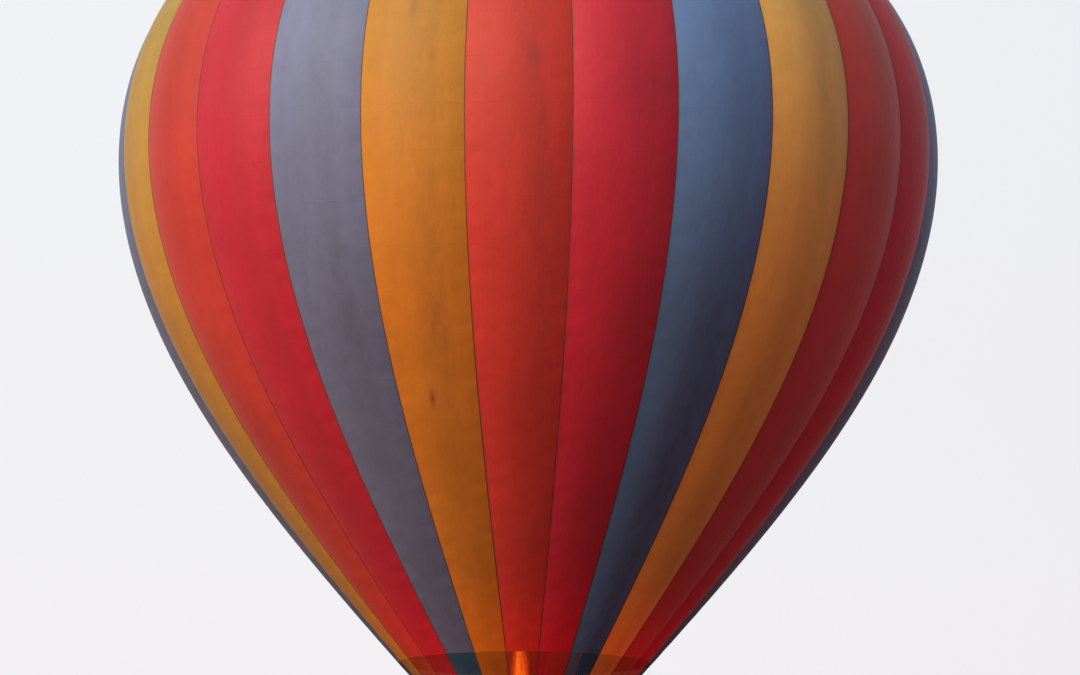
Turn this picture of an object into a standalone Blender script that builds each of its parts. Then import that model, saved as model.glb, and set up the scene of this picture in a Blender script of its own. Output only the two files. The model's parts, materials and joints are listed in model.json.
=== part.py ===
# Hot air balloon: an envelope of 24 gores with a parachute vent, flying wires, a load frame
# with gimballed burners, and a wicker basket with its fuel cylinders.
# Metres, +Z up. The origin is the centre of the envelope's widest circle. Azimuth 0 looks
# at the balloon's front, which faces -Y, and azimuths turn towards +X.

import math

import bpy
import numpy as np
from mathutils import Vector

# Envelope
ENVELOPE_RADIUS = 13.0  # to the crest of a gore at the widest circle
GORES = 24
LOBE = 0.02  # a seam lies this share of the radius inside the crest between two seams
CLOTH = 0.010
VENT_RADIUS = 3.2
VENT_OVERLAP = 0.35  # how far the vent panel reaches under the gores
VENT_BEND_RADIUS = 1.7  # where the tapes over the vent bend once
VENT_HANG = 0.022  # from the cloth's inner face down to the vent panel, under the tapes
MOUTH_RADIUS = 2.8
HEM_WIDTH = 0.12
HEM_FOLD = 0.004  # how far the mouth's folded hem stands proud on each side
TAPE_WIDTH = 0.05
TAPE_PROUD = 0.002
CROWN_RING_RADIUS = 0.30
CROWN_RING_HALF = 0.05
CROWN_RING_FLAT = 0.04  # half the width of the ring's level top and underside
CROWN_RING_TOP = 0.02
CROWN_RING_UNDER = 0.012
GORE_COLUMNS = 4
ROWS_BELOW = 9  # rows of a gore from the mouth to the widest circle
ROWS_ABOVE = 6

# The meridian bends under the warm air's pressure, which grows with height: its curvature is
# the radius times a quadratic in the height, both in envelope radii.
BEND = 1.2576
BEND_RISE = 1.2602
BEND_RISE_SQUARED = 0.3062

# Load frame and burners
FRAME_DROP = 3.2  # from the mouth down to the load frame
FRAME_HALF = (1.60, 0.70)
FRAME_CORNER = 0.12
FRAME_TUBE = 0.025
CROSS_TUBE_X = 0.66
CROSS_TUBE = 0.022
TETHER_PLATE = (0.03, 0.22, 0.10)
SEAT = 0.01  # how deep a plate, bush or lug is sunk into the tube that carries it
SOCKET_RADIUS = 0.045
SOCKET_INSET = 0.02  # from the frame's outer tube line to a socket's middle
SOCKET_BELOW = 0.16
SOCKET_ABOVE = 0.07
SHACKLE_PLATE = (0.12, 0.05, 0.16)
WIRE_SPACING = 0.016  # between the wires' feet on a shackle plate
WIRE_FOOT = 0.10
WIRE_RADIUS = 0.005
GIMBAL_HALF = (0.56, 0.46)
GIMBAL_CORNER = 0.08
GIMBAL_TUBE = 0.016
PIN_RADIUS = 0.012
BUSH_HALF = 0.03
LUG_HALF = 0.02  # of the gimbal's lugs that take the burners' pins
LUG_PROUD = 0.006
BLOCK_HALF = 0.27
BLOCK_CORNER = 0.05
BLOCK_THICK = 0.05
MANIFOLD_HALF = (0.20, 0.03)
MANIFOLD_LEVELS = ((-0.10, -0.010), (-0.11, -0.012))  # of the two fuel manifolds that cross
CAN_SPACING = 0.31
CAN_RADIUS = 0.135
CAN_HEIGHT = 0.48
CAN_WALL = 0.006
CAN_BASE = 0.02

# Basket
FLOOR_DROP = 2.10  # from the load frame down to the top of the floor
BASKET_HALF = (1.80, 0.80)
BASKET_CORNER = 0.16
WICKER = 0.05
WALL_HEIGHT = 1.12
RIM_HEIGHT = 0.085
RIM_HALF = 0.055
RIM_SEAT = 0.035  # half the width of the rim's flat underside
RIM_SHOULDER = 0.03  # where the rim is widest, above the wicker
FLOOR_THICK = 0.03
PARTITION = 0.04
PARTITION_X = 0.50  # middle of each wall across the basket
PARTITION_HEIGHT = 1.06
STEP_WIDTH = 0.20
STEP_HEIGHT = 0.12
STEP_LEVELS = (0.28, 0.62)
STEP_X = 1.13
STEP_CUT = 0.12  # how far a step hole's cut reaches to each side of the wall's outer face
SCUFF_HEIGHT = 0.15
SCUFF_THICK = 0.008
RUNNER_INSET = 0.06  # of a runner's ends, inside the basket's ends
RUNNER_WIDTH = 0.06
RUNNER_HEIGHT = 0.07
RUNNER_Y = 0.60
BATTEN_X = 1.25
BATTEN_HALF = 0.04
BATTEN_THICK = 0.035
BATTEN_DROP = 0.005
BATTEN_END = 0.01  # how far a batten runs on past the outer runners' middles
UPRIGHT_RADIUS = 0.032
CYLINDER_RADIUS = 0.16
CYLINDER_HEIGHT = 0.98
CYLINDER_SPACE = 0.005  # from a cylinder to the wicker beside it

GAP = 0.0003  # between pieces that touch on the real balloon
ROUND = 24  # sides of a round piece
CORNER_STEPS = 5


def clear_scene():
    for obj in list(bpy.data.objects):
        bpy.data.objects.remove(obj)


def material(name, colour, roughness, metallic=0.0):
    made = bpy.data.materials.new(name)
    made.use_nodes = True
    shader = made.node_tree.nodes["Principled BSDF"]
    shader.inputs["Base Color"].default_value = (*colour, 1.0)
    shader.inputs["Roughness"].default_value = roughness
    shader.inputs["Metallic"].default_value = metallic
    return made


def mesh_object(name, shape, finish, parent=None, location=(0, 0, 0), turn=0.0):
    mesh = bpy.data.meshes.new(name)
    mesh.from_pydata([tuple(p) for p in shape[0]], [], shape[1])
    mesh.materials.append(finish)
    return place(name, mesh, finish, parent, location, turn)


def place(name, mesh, finish, parent, location, turn):
    obj = bpy.data.objects.new(name, mesh)
    bpy.context.scene.collection.objects.link(obj)
    obj.material_slots[0].link = "OBJECT"
    obj.material_slots[0].material = finish
    obj.location = location
    obj.rotation_euler.z = turn
    obj.parent = parent
    return obj


def empty(name, location, parent=None):
    made = bpy.data.objects.new(name, None)
    bpy.context.scene.collection.objects.link(made)
    made.location = location
    made.parent = parent
    return made


def smooth(obj, degrees=35):
    obj.data.shade_smooth()
    obj.data.set_sharp_from_angle(angle=math.radians(degrees))


def join_shapes(main, name, shapes, operation="UNION"):
    # Boolean of the main object with other closed shapes, kept as wire helpers.
    helpers = bpy.data.collections.new(name)
    bpy.context.scene.collection.children.link(helpers)
    for number, shape in enumerate(shapes):
        mesh = bpy.data.meshes.new(f"{name}_{number}")
        mesh.from_pydata([tuple(p) for p in shape[0]], [], shape[1])
        helper = bpy.data.objects.new(f"{name}_{number}", mesh)
        helper.location = main.location
        helper.parent = main.parent
        helper.hide_render = True
        helper.display_type = "WIRE"
        helpers.objects.link(helper)
    boolean = main.modifiers.new(name, "BOOLEAN")
    boolean.operand_type = "COLLECTION"
    boolean.collection = helpers
    boolean.operation = operation
    boolean.solver = "EXACT"


# Shapes, each a list of points and a list of faces that point outwards


def box(low, high):
    xs, ys, zs = zip(low, high)
    points = [Vector((x, y, z)) for z in zs for y in ys for x in xs]
    return points, [(0, 2, 3, 1), (4, 5, 7, 6), (0, 1, 5, 4), (1, 3, 7, 5), (3, 2, 6, 7), (2, 0, 4, 6)]


def rod(start, end, radius, sides=ROUND, axis="Z"):
    # A straight round bar whose two end faces both stand square to the given axis.
    points = []
    for middle in (start, end):
        for k in range(sides):
            a = 2 * math.pi * (k + 0.5) / sides
            u, v = radius * math.cos(a), radius * math.sin(a)
            across = {"Z": (u, v, 0), "X": (0, u, v), "Y": (v, 0, u)}[axis]
            points.append(Vector(middle) + Vector(across))
    faces = [tuple(reversed(range(sides))), tuple(range(sides, 2 * sides))]
    for k in range(sides):
        n = (k + 1) % sides
        faces.append((k, n, n + sides, k + sides))
    return points, faces


def turned(profile, centre=(0, 0, 0), sides=ROUND):
    # A profile of (radius, height) turned about Z, from its lowest point on the axis out and
    # up to its highest point on the axis.
    points, rings = [], []
    for radius, height in profile:
        if radius == 0:
            rings.append([len(points)])
            points.append(Vector((0, 0, height)))
            continue
        rings.append(list(range(len(points), len(points) + sides)))
        for k in range(sides):
            a = 2 * math.pi * k / sides
            points.append(Vector((radius * math.cos(a), radius * math.sin(a), height)))
    faces = []
    for lower, upper in zip(rings, rings[1:]):
        for k in range(sides):
            n = (k + 1) % sides
            if len(lower) == 1:
                faces.append((lower[0], upper[n], upper[k]))
            elif len(upper) == 1:
                faces.append((lower[k], lower[n], upper[0]))
            else:
                faces.append((lower[k], lower[n], upper[n], upper[k]))
    return [p + Vector(centre) for p in points], faces


def prism(outline, low, high):
    count = len(outline)
    points = [Vector((x, y, z)) for z in (low, high) for x, y in outline]
    faces = [tuple(reversed(range(count))), tuple(range(count, 2 * count))]
    for k in range(count):
        n = (k + 1) % count
        faces.append((k, n, n + count, k + count))
    return points, faces


def rounded_outline(half, corner, outward=0.0, steps=CORNER_STEPS):
    # A rectangle with round corners, counterclockwise, moved outwards by a distance.
    points = []
    for number, (sx, sy) in enumerate(((1, 1), (-1, 1), (-1, -1), (1, -1))):
        for k in range(steps + 1):
            a = math.radians(90 * (number + k / steps))
            reach = corner + outward
            x = sx * (half[0] - corner) + reach * math.cos(a)
            y = sy * (half[1] - corner) + reach * math.sin(a)
            points.append((x, y))
    return points


def ring(half, corner, section, steps=CORNER_STEPS):
    # A closed band: a section of (distance outwards, height), counterclockwise, led round
    # a rectangle with round corners.
    loops = [
        [Vector((x, y, height)) for x, y in rounded_outline(half, corner, outward, steps)]
        for outward, height in section
    ]
    count = len(loops[0])
    points = [p for loop in loops for p in loop]
    faces = []
    for j in range(len(loops)):
        m = (j + 1) % len(loops)
        for i in range(count):
            n = (i + 1) % count
            faces.append((j * count + i, j * count + n, m * count + n, m * count + i))
    return points, faces


def round_section(radius, sides=8):
    return [
        (radius * math.cos(2 * math.pi * k / sides), radius * math.sin(2 * math.pi * k / sides))
        for k in range(sides)
    ]


def slab(outer, inner, faces):
    # A wall between two matching sets of points: outer faces, inner faces and its edges.
    count = len(outer)
    walls = []
    edges = {(f[k], f[(k + 1) % len(f)]) for f in faces for k in range(len(f))}
    for a, b in sorted(edges):
        if (b, a) not in edges:
            walls.append((b, a, a + count, b + count))
    backs = [tuple(k + count for k in reversed(f)) for f in faces]
    return outer + inner, list(faces) + backs + walls


def grid_faces(rows, columns, closed=False):
    across = columns if closed else columns + 1
    faces = []
    for i in range(rows):
        for j in range(columns):
            n = (j + 1) % across
            lower, upper = i * across, (i + 1) * across
            faces.append((lower + j, lower + n, upper + n, upper + j))
    return faces


# Envelope surface


def bent_arc(upward):
    # From the widest circle to the crown, or down past the mouth, in steps along the cloth.
    step = 1 / 400
    r, z, lean = 1.0, 0.0, 0.0
    rows = [(0.0, r, z, lean)]
    side = 1 if upward else -1
    while r > 0.01 and z > -1.6:
        half_lean = lean - side * (BEND + BEND_RISE * z + BEND_RISE_SQUARED * z * z) * r * step / 2
        half_r = r + side * math.sin(lean) * step / 2
        half_z = z + side * math.cos(lean) * step / 2
        bend = (BEND + BEND_RISE * half_z + BEND_RISE_SQUARED * half_z * half_z) * half_r
        r += side * math.sin(half_lean) * step
        z += side * math.cos(half_lean) * step
        lean -= side * bend * step
        rows.append((rows[-1][0] + side * step, r, z, lean))
    return rows


def meridian():
    rows = bent_arc(False)[:0:-1] + bent_arc(True)
    arc, r, z, lean = (np.array(column) for column in zip(*rows))
    return arc * ENVELOPE_RADIUS, r * ENVELOPE_RADIUS, z * ENVELOPE_RADIUS, lean


ARC, ARC_RADIUS, ARC_HEIGHT, ARC_LEAN = meridian()
WIDEST = int(np.argmax(ARC_RADIUS))


def arc_above(radius):
    return float(np.interp(-radius, -ARC_RADIUS[WIDEST:], ARC[WIDEST:]))


def arc_below(radius):
    return float(np.interp(radius, ARC_RADIUS[: WIDEST + 1], ARC[: WIDEST + 1]))


def height_at(arc):
    return float(np.interp(arc, ARC, ARC_HEIGHT))


def skin_point(arc, azimuth, share, depth, aside=0.0):
    # A point of the cloth: its place along the meridian, its azimuth, its share of the way
    # from a crest (0) to a seam (1), its depth inwards and a shift along the girth.
    radius = float(np.interp(arc, ARC, ARC_RADIUS)) * (1 - LOBE * share * share)
    lean = float(np.interp(arc, ARC, ARC_LEAN))
    radius -= depth * math.cos(lean)
    height = height_at(arc) + depth * math.sin(lean)
    out = Vector((math.sin(azimuth), -math.cos(azimuth), 0))
    along = Vector((math.cos(azimuth), math.sin(azimuth), 0))
    return out * radius + along * aside + Vector((0, 0, height))


VENT_ARC = arc_above(VENT_RADIUS)
MARGIN_ARC = VENT_ARC - VENT_OVERLAP
MOUTH_ARC = arc_below(MOUTH_RADIUS)
HALF_GORE = math.pi / GORES
MOUTH_Z = height_at(MOUTH_ARC)
CROWN_Z = height_at(ARC[-1])
FRAME_Z = MOUTH_Z - FRAME_DROP
FLOOR_Z = FRAME_Z - FLOOR_DROP


def gore_shape():
    # One gore from the mouth's hem to the vent's edge, centred on the front.
    low = MOUTH_ARC + HEM_WIDTH + GAP
    arcs = [*np.linspace(low, 0, ROWS_BELOW), *np.linspace(0, MARGIN_ARC, ROWS_ABOVE)[1:], VENT_ARC]
    shares = np.linspace(-1, 1, GORE_COLUMNS + 1)
    outer, inner = [], []
    for arc in arcs:
        for share in shares:
            aside = -share * GAP / 2 if abs(share) == 1 else 0.0
            for points, depth in ((outer, 0.0), (inner, CLOTH)):
                points.append(skin_point(arc, share * HALF_GORE, share, depth, aside))
    return slab(outer, inner, grid_faces(len(arcs) - 1, GORE_COLUMNS))


def girth_columns(per_gore):
    # Azimuths and shares right round the envelope, seams and crests included.
    columns = []
    for gore in range(GORES):
        for k in range(per_gore):
            share = -1 + 2 * k / per_gore
            columns.append(((2 * gore + share) * HALF_GORE, share))
    return columns


def crown_hem_shape():
    arcs = (VENT_ARC + GAP, VENT_ARC + HEM_WIDTH)
    outer, inner = [], []
    for arc in arcs:
        for azimuth, share in girth_columns(GORE_COLUMNS):
            outer.append(skin_point(arc, azimuth, share, 0.0))
            inner.append(skin_point(arc, azimuth, share, CLOTH))
    return slab(outer, inner, grid_faces(1, GORES * GORE_COLUMNS, closed=True))


def crown_arcs():
    return (VENT_ARC + HEM_WIDTH / 2, arc_above(VENT_BEND_RADIUS), arc_above(CROWN_RING_RADIUS))


def vent_tape_shape(seam):
    # A load tape that runs on over the open vent, from its hem to the crown ring.
    azimuth = (2 * seam - 1) * HALF_GORE
    outer, inner = [], []
    for arc in crown_arcs():
        for side in (-1, 1):
            aside = side * TAPE_WIDTH / 2
            outer.append(skin_point(arc, azimuth, 1, -TAPE_PROUD, aside))
            inner.append(skin_point(arc, azimuth, 1, CLOTH - TAPE_PROUD, aside))
    return slab(outer, inner, grid_faces(2, 1))


def crown_ring_shape():
    middle = height_at(crown_arcs()[-1])
    flat, low, high = CROWN_RING_FLAT, -CROWN_RING_UNDER, CROWN_RING_TOP
    section = [(-flat, low), (flat, low), (CROWN_RING_HALF, 0), (flat, high), (-flat, high)]
    section.append((-CROWN_RING_HALF, 0))
    half = (CROWN_RING_RADIUS, CROWN_RING_RADIUS)
    shape = ring(half, CROWN_RING_RADIUS, section, steps=6)
    return [p + Vector((0, 0, middle)) for p in shape[0]], shape[1]


def vent_panel_shape():
    # The parachute vent: a shallow cap that hangs under the gores' edge and the vent tapes.
    rows = [(MARGIN_ARC, CLOTH + GAP), (VENT_ARC, CLOTH + GAP)]
    rows += [(arc, CLOTH + VENT_HANG) for arc in crown_arcs()]
    columns = girth_columns(2)
    outer, inner = [], []
    for arc, depth in rows:
        for azimuth, share in columns:
            outer.append(skin_point(arc, azimuth, share, depth))
            inner.append(skin_point(arc, azimuth, share, depth + CLOTH))
    faces = grid_faces(len(rows) - 1, len(columns), closed=True)
    last = (len(rows) - 1) * len(columns)
    outer.append(Vector((0, 0, outer[-1].z)))
    inner.append(Vector((0, 0, inner[-1].z)))
    for j in range(len(columns)):
        faces.append((last + j, last + (j + 1) % len(columns), len(outer) - 1))
    lift = Vector((0, 0, CROWN_Z))
    return slab([p - lift for p in outer], [p - lift for p in inner], faces)


def mouth_hem_shape():
    # A folded hem round the mouth, with a level underside where the flying wires start.
    outer, inner = [], []
    for arc in (MOUTH_ARC, MOUTH_ARC + HEM_WIDTH):
        for azimuth, share in girth_columns(GORE_COLUMNS):
            outer.append(skin_point(arc, azimuth, share, -HEM_FOLD))
            inner.append(skin_point(arc, azimuth, share, CLOTH + HEM_FOLD))
            if arc == MOUTH_ARC:
                outer[-1].z = MOUTH_Z
                inner[-1].z = MOUTH_Z
    return slab(outer, inner, grid_faces(1, GORES * GORE_COLUMNS, closed=True))


def build_envelope(centre, finishes):
    shape = gore_shape()
    mesh = bpy.data.meshes.new("gore")
    mesh.from_pydata([tuple(p) for p in shape[0]], [], shape[1])
    mesh.materials.append(finishes["orange"])
    cycle = ("orange", "crimson", "slate", "gold")
    for number in range(GORES):
        name = f"gore_{number + 1:02d}"
        colour = finishes[cycle[number % len(cycle)]]
        gore = place(name, mesh, colour, centre, (0, 0, 0), 2 * HALF_GORE * number)
    smooth(gore)
    crown = mesh_object("crown_ring_and_vent_tapes", crown_hem_shape(), finishes["tape"], centre)
    tapes = [vent_tape_shape(seam) for seam in range(GORES)]
    join_shapes(crown, "vent_tapes", [*tapes, crown_ring_shape()])
    vent = mesh_object("parachute_vent", vent_panel_shape(), finishes["crimson"], centre, (0, 0, CROWN_Z))
    smooth(vent)
    smooth(mesh_object("mouth_hem", mouth_hem_shape(), finishes["tape"], centre))


# Load frame, wires and burners

CORNERS = {"front_right": (1, -1), "rear_right": (1, 1), "rear_left": (-1, 1), "front_left": (-1, -1)}


def socket_at(signs):
    x, y = (sign * (half - SOCKET_INSET) for sign, half in zip(signs, FRAME_HALF))
    return Vector((x, y, 0))


def build_wires(number, name, signs, finishes):
    # Six wires from a quarter of the mouth down to one shackle plate above its socket.
    foot = socket_at(signs) + Vector((0, 0, FRAME_Z + SOCKET_ABOVE + GAP))
    width, depth, height = SHACKLE_PLATE
    low = foot + Vector((-width / 2, -depth / 2, 0))
    high = foot + Vector((width / 2, depth / 2, height))
    plate = mesh_object(f"flying_wires_{name}", box(low, high), finishes["steel"])
    count = GORES // 4
    wires = []
    for k in range(count):
        azimuth = (2 * (number * count + k) + 1) * HALF_GORE
        top = skin_point(MOUTH_ARC, azimuth, 1, CLOTH / 2)
        top.z = MOUTH_Z - GAP
        aside = -signs[1] * WIRE_SPACING * (k - (count - 1) / 2)
        wires.append(rod(foot + Vector((aside, 0, WIRE_FOOT)), top, WIRE_RADIUS, sides=6))
    join_shapes(plate, f"wires_{name}", wires)


def build_load_frame(finishes):
    hub = empty("load_frame_centre", (0, 0, FRAME_Z))
    shape = ring(FRAME_HALF, FRAME_CORNER, round_section(FRAME_TUBE))
    frame = mesh_object("load_frame", shape, finishes["steel"], hub)
    parts = []
    for signs in CORNERS.values():
        at = socket_at(signs)
        below, above = Vector((0, 0, -SOCKET_BELOW)), Vector((0, 0, SOCKET_ABOVE))
        parts.append(rod(at + below, at + above, SOCKET_RADIUS, sides=16))
    thick, width, height = TETHER_PLATE
    for side in (-1, 1):
        x = side * CROSS_TUBE_X
        reach = FRAME_HALF[1]
        parts.append(rod((x, -reach, 0), (x, reach, 0), CROSS_TUBE, sides=12, axis="Y"))
        near, far = sorted((x - side * BUSH_HALF, x + side * SEAT))
        parts.append(box((near, -BUSH_HALF, -BUSH_HALF), (far, BUSH_HALF, BUSH_HALF)))
        face = side * (FRAME_HALF[0] + SEAT)
        near, far = sorted((face, face + side * thick))
        parts.append(box((near, -width / 2, -height / 2), (far, width / 2, height / 2)))
    join_shapes(frame, "load_frame_parts", parts)
    return hub


def build_gimbal(hub, finishes):
    shape = ring(GIMBAL_HALF, GIMBAL_CORNER, round_section(GIMBAL_TUBE))
    gimbal = mesh_object("gimbal_frame", shape, finishes["steel"], hub)
    parts = []
    for side in (-1, 1):
        near, far = sorted((side * GIMBAL_HALF[0], side * (CROSS_TUBE_X - BUSH_HALF - GAP)))
        parts.append(rod((near, 0, 0), (far, 0, 0), PIN_RADIUS, sides=12, axis="X"))
        near, far = sorted((side * (GIMBAL_HALF[1] - BUSH_HALF), side * (GIMBAL_HALF[1] + LUG_PROUD)))
        parts.append(box((-LUG_HALF, near, -LUG_HALF), (LUG_HALF, far, LUG_HALF)))
    join_shapes(gimbal, "gimbal_parts", parts)


def build_burners(hub, finishes):
    outline = rounded_outline((BLOCK_HALF, BLOCK_HALF), BLOCK_CORNER)
    shape = prism(outline, -BLOCK_THICK / 2, BLOCK_THICK / 2)
    block = mesh_object("burner_block", shape, finishes["steel"], hub)
    long, short = MANIFOLD_HALF
    along_x, along_y = MANIFOLD_LEVELS
    parts = [
        box((-long, -short, along_x[0]), (long, short, along_x[1])),
        box((-short, -long, along_y[0]), (short, long, along_y[1])),
    ]
    for side in (-1, 1):
        near, far = sorted((side * (BLOCK_HALF - 2 * SEAT), side * (GIMBAL_HALF[1] - BUSH_HALF - GAP)))
        parts.append(rod((0, near, 0), (0, far, 0), PIN_RADIUS, sides=12, axis="Y"))
    join_shapes(block, "burner_block_parts", parts)
    inside = CAN_RADIUS - CAN_WALL
    profile = [(0, 0), (CAN_RADIUS, 0), (CAN_RADIUS, CAN_HEIGHT)]
    profile += [(inside, CAN_HEIGHT), (inside, CAN_BASE), (0, CAN_BASE)]
    for name, signs in CORNERS.items():
        x, y = (sign * CAN_SPACING / 2 for sign in signs)
        centre = (x, y, BLOCK_THICK / 2 + GAP)
        smooth(mesh_object(f"burner_can_{name}", turned(profile, centre), finishes["steel"], hub))


# Basket


def build_uprights(finishes):
    foot_z = FLOOR_Z + WALL_HEIGHT + RIM_HEIGHT + GAP
    top_z = FRAME_Z - SOCKET_BELOW - GAP
    reach = (BASKET_CORNER - WICKER / 2) * math.sqrt(0.5) - BASKET_CORNER
    for name, signs in CORNERS.items():
        foot = (signs[0] * (BASKET_HALF[0] + reach), signs[1] * (BASKET_HALF[1] + reach), foot_z)
        top = socket_at(signs)
        top.z = top_z
        shape = rod(foot, top, UPRIGHT_RADIUS, sides=16)
        smooth(mesh_object(f"upright_{name}", shape, finishes["leather"]))


def wall_shape():
    section = [(-WICKER, GAP), (0, GAP), (0, WALL_HEIGHT - GAP), (-WICKER, WALL_HEIGHT - GAP)]
    return ring(BASKET_HALF, BASKET_CORNER, section)


def step_holes():
    holes = []
    for sx in (-1, 1):
        for sy in (-1, 1):
            for level in STEP_LEVELS:
                x, y = sx * STEP_X, sy * BASKET_HALF[1]
                low = (x - STEP_WIDTH / 2, y - STEP_CUT, level)
                holes.append(box(low, (x + STEP_WIDTH / 2, y + STEP_CUT, level + STEP_HEIGHT)))
    return holes


def partition_outline(side):
    half, reach = PARTITION / 2, BASKET_HALF[1] - WICKER - GAP
    end = BASKET_HALF[0] - WICKER - GAP
    near, far = PARTITION_X - half, PARTITION_X + half
    outline = [(near, -reach), (far, -reach), (far, -half), (end, -half)]
    outline += [(end, half), (far, half), (far, reach), (near, reach)]
    return outline if side > 0 else [(-x, y) for x, y in reversed(outline)]


def rim_section():
    # A padded roll with a flat seat on the wicker.
    middle = -WICKER / 2
    shoulder = WALL_HEIGHT + RIM_SHOULDER
    crown = math.radians(72)
    rise = (RIM_HEIGHT - RIM_SHOULDER) / math.sin(crown)
    arch = [0, crown / 2, crown, math.pi - crown, math.pi - crown / 2, math.pi]
    top = [(middle + RIM_HALF * math.cos(a), shoulder + rise * math.sin(a)) for a in arch]
    return [(middle - RIM_SEAT, WALL_HEIGHT), (middle + RIM_SEAT, WALL_HEIGHT), *top]


def cylinder_profile():
    # A fuel cylinder with a foot ring, domed ends and a valve guard.
    r, h = CYLINDER_RADIUS, CYLINDER_HEIGHT
    profile = [(0, 0), (r * 0.75, 0), (r * 0.75, 0.03), (r * 0.9, 0.05), (r, 0.09), (r, h - 0.19)]
    profile += [(r * 0.9, h - 0.14), (r * 0.62, h - 0.11), (r * 0.62, h), (0, h)]
    return profile


def build_basket(finishes):
    base = empty("basket_base", (0, 0, FLOOR_Z))
    outline = rounded_outline(BASKET_HALF, BASKET_CORNER)
    mesh_object("basket_floor", prism(outline, -FLOOR_THICK, 0), finishes["wood"], base)
    wall = mesh_object("basket_wall", wall_shape(), finishes["wicker"], base)
    join_shapes(wall, "step_holes", step_holes(), "DIFFERENCE")
    for side, name in ((-1, "left"), (1, "right")):
        shape = prism(partition_outline(side), GAP, PARTITION_HEIGHT)
        mesh_object(f"partition_{name}", shape, finishes["wicker"], base)
    rim = ring(BASKET_HALF, BASKET_CORNER, rim_section())
    smooth(mesh_object("basket_rim", rim, finishes["leather"], base))
    low, high = -FLOOR_THICK, SCUFF_HEIGHT - FLOOR_THICK
    section = [(GAP, low), (SCUFF_THICK + GAP, low), (SCUFF_THICK + GAP, high), (GAP, high)]
    mesh_object("scuff_band", ring(BASKET_HALF, BASKET_CORNER, section), finishes["leather"], base)
    build_runners(base, finishes)
    reach_x = PARTITION_X - PARTITION / 2 - CYLINDER_RADIUS - CYLINDER_SPACE
    reach_y = BASKET_HALF[1] - WICKER - CYLINDER_RADIUS - CYLINDER_SPACE
    for name, signs in CORNERS.items():
        centre = (signs[0] * reach_x, signs[1] * reach_y, GAP)
        shape = turned(cylinder_profile(), centre)
        smooth(mesh_object(f"fuel_cylinder_{name}", shape, finishes["aluminium"], base))


def build_runners(base, finishes):
    # Three skids under the floor, tied by two battens across them.
    top = -FLOOR_THICK - GAP
    length = BASKET_HALF[0] - RUNNER_INSET
    half = RUNNER_WIDTH / 2
    skid = box((-length, -half, top - RUNNER_HEIGHT), (length, half, top))
    runners = mesh_object("runners", skid, finishes["wood"], base)
    reach, batten_top = RUNNER_Y + BATTEN_END, top - BATTEN_DROP
    parts = []
    for side in (-1, 1):
        y, x = side * RUNNER_Y, side * BATTEN_X
        parts.append(box((-length, y - half, top - RUNNER_HEIGHT), (length, y + half, top)))
        low = (x - BATTEN_HALF, -reach, batten_top - BATTEN_THICK)
        parts.append(box(low, (x + BATTEN_HALF, reach, batten_top)))
    join_shapes(runners, "runner_parts", parts)


def finish_set():
    return {
        "orange": material("orange_cloth", (0.45, 0.035, 0.02), 0.6),
        "crimson": material("crimson_cloth", (0.36, 0.016, 0.024), 0.6),
        "slate": material("slate_cloth", (0.21, 0.20, 0.26), 0.6),
        "gold": material("gold_cloth", (0.50, 0.16, 0.02), 0.6),
        "tape": material("load_tape", (0.06, 0.03, 0.03), 0.8),
        "steel": material("stainless_steel", (0.56, 0.56, 0.57), 0.3, 1.0),
        "aluminium": material("cylinder_aluminium", (0.62, 0.63, 0.65), 0.35, 1.0),
        "leather": material("padded_leather", (0.10, 0.035, 0.015), 0.55),
        "wicker": material("wicker", (0.36, 0.19, 0.07), 0.7),
        "wood": material("plywood", (0.33, 0.20, 0.10), 0.6),
    }


def main():
    clear_scene()
    finishes = finish_set()
    centre = empty("envelope_centre", (0, 0, 0))
    build_envelope(centre, finishes)
    for number, (name, signs) in enumerate(CORNERS.items()):
        build_wires(number, name, signs, finishes)
    hub = build_load_frame(finishes)
    build_gimbal(hub, finishes)
    build_burners(hub, finishes)
    build_uprights(finishes)
    build_basket(finishes)


main()
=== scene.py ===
# The look of a hot air balloon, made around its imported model.
# Metres, +Z up. The front gore faces -Y; azimuth 0 is the front, and azimuths turn towards +X.

import json
import math

import bmesh
import bpy
import numpy as np
from mathutils import Matrix, Vector

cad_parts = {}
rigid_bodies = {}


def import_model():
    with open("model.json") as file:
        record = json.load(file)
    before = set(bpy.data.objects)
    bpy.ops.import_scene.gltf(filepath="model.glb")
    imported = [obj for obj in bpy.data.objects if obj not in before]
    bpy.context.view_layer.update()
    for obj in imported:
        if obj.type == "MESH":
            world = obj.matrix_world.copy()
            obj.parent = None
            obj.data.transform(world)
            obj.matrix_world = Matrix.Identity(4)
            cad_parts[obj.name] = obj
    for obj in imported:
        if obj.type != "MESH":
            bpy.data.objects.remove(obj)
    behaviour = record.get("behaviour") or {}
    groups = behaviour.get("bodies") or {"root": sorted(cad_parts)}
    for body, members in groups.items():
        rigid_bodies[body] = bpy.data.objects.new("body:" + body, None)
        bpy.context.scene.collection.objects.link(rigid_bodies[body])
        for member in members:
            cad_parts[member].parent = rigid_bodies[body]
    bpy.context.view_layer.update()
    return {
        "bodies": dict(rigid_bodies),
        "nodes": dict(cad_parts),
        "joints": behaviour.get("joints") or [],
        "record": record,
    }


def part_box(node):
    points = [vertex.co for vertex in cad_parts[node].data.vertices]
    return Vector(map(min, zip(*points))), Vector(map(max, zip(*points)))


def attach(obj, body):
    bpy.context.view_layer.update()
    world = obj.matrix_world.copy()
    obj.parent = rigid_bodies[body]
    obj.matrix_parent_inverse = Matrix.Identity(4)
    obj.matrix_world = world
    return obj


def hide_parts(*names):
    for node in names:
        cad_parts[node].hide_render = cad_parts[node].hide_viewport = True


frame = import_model()
scene = bpy.context.scene
cornerSigns = {"front_right": (1, -1), "rear_right": (1, 1), "rear_left": (-1, 1), "front_left": (-1, -1)}
print("frame loaded:", len(frame["nodes"]), "nodes")


# Camera, sky, light and floor

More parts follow.
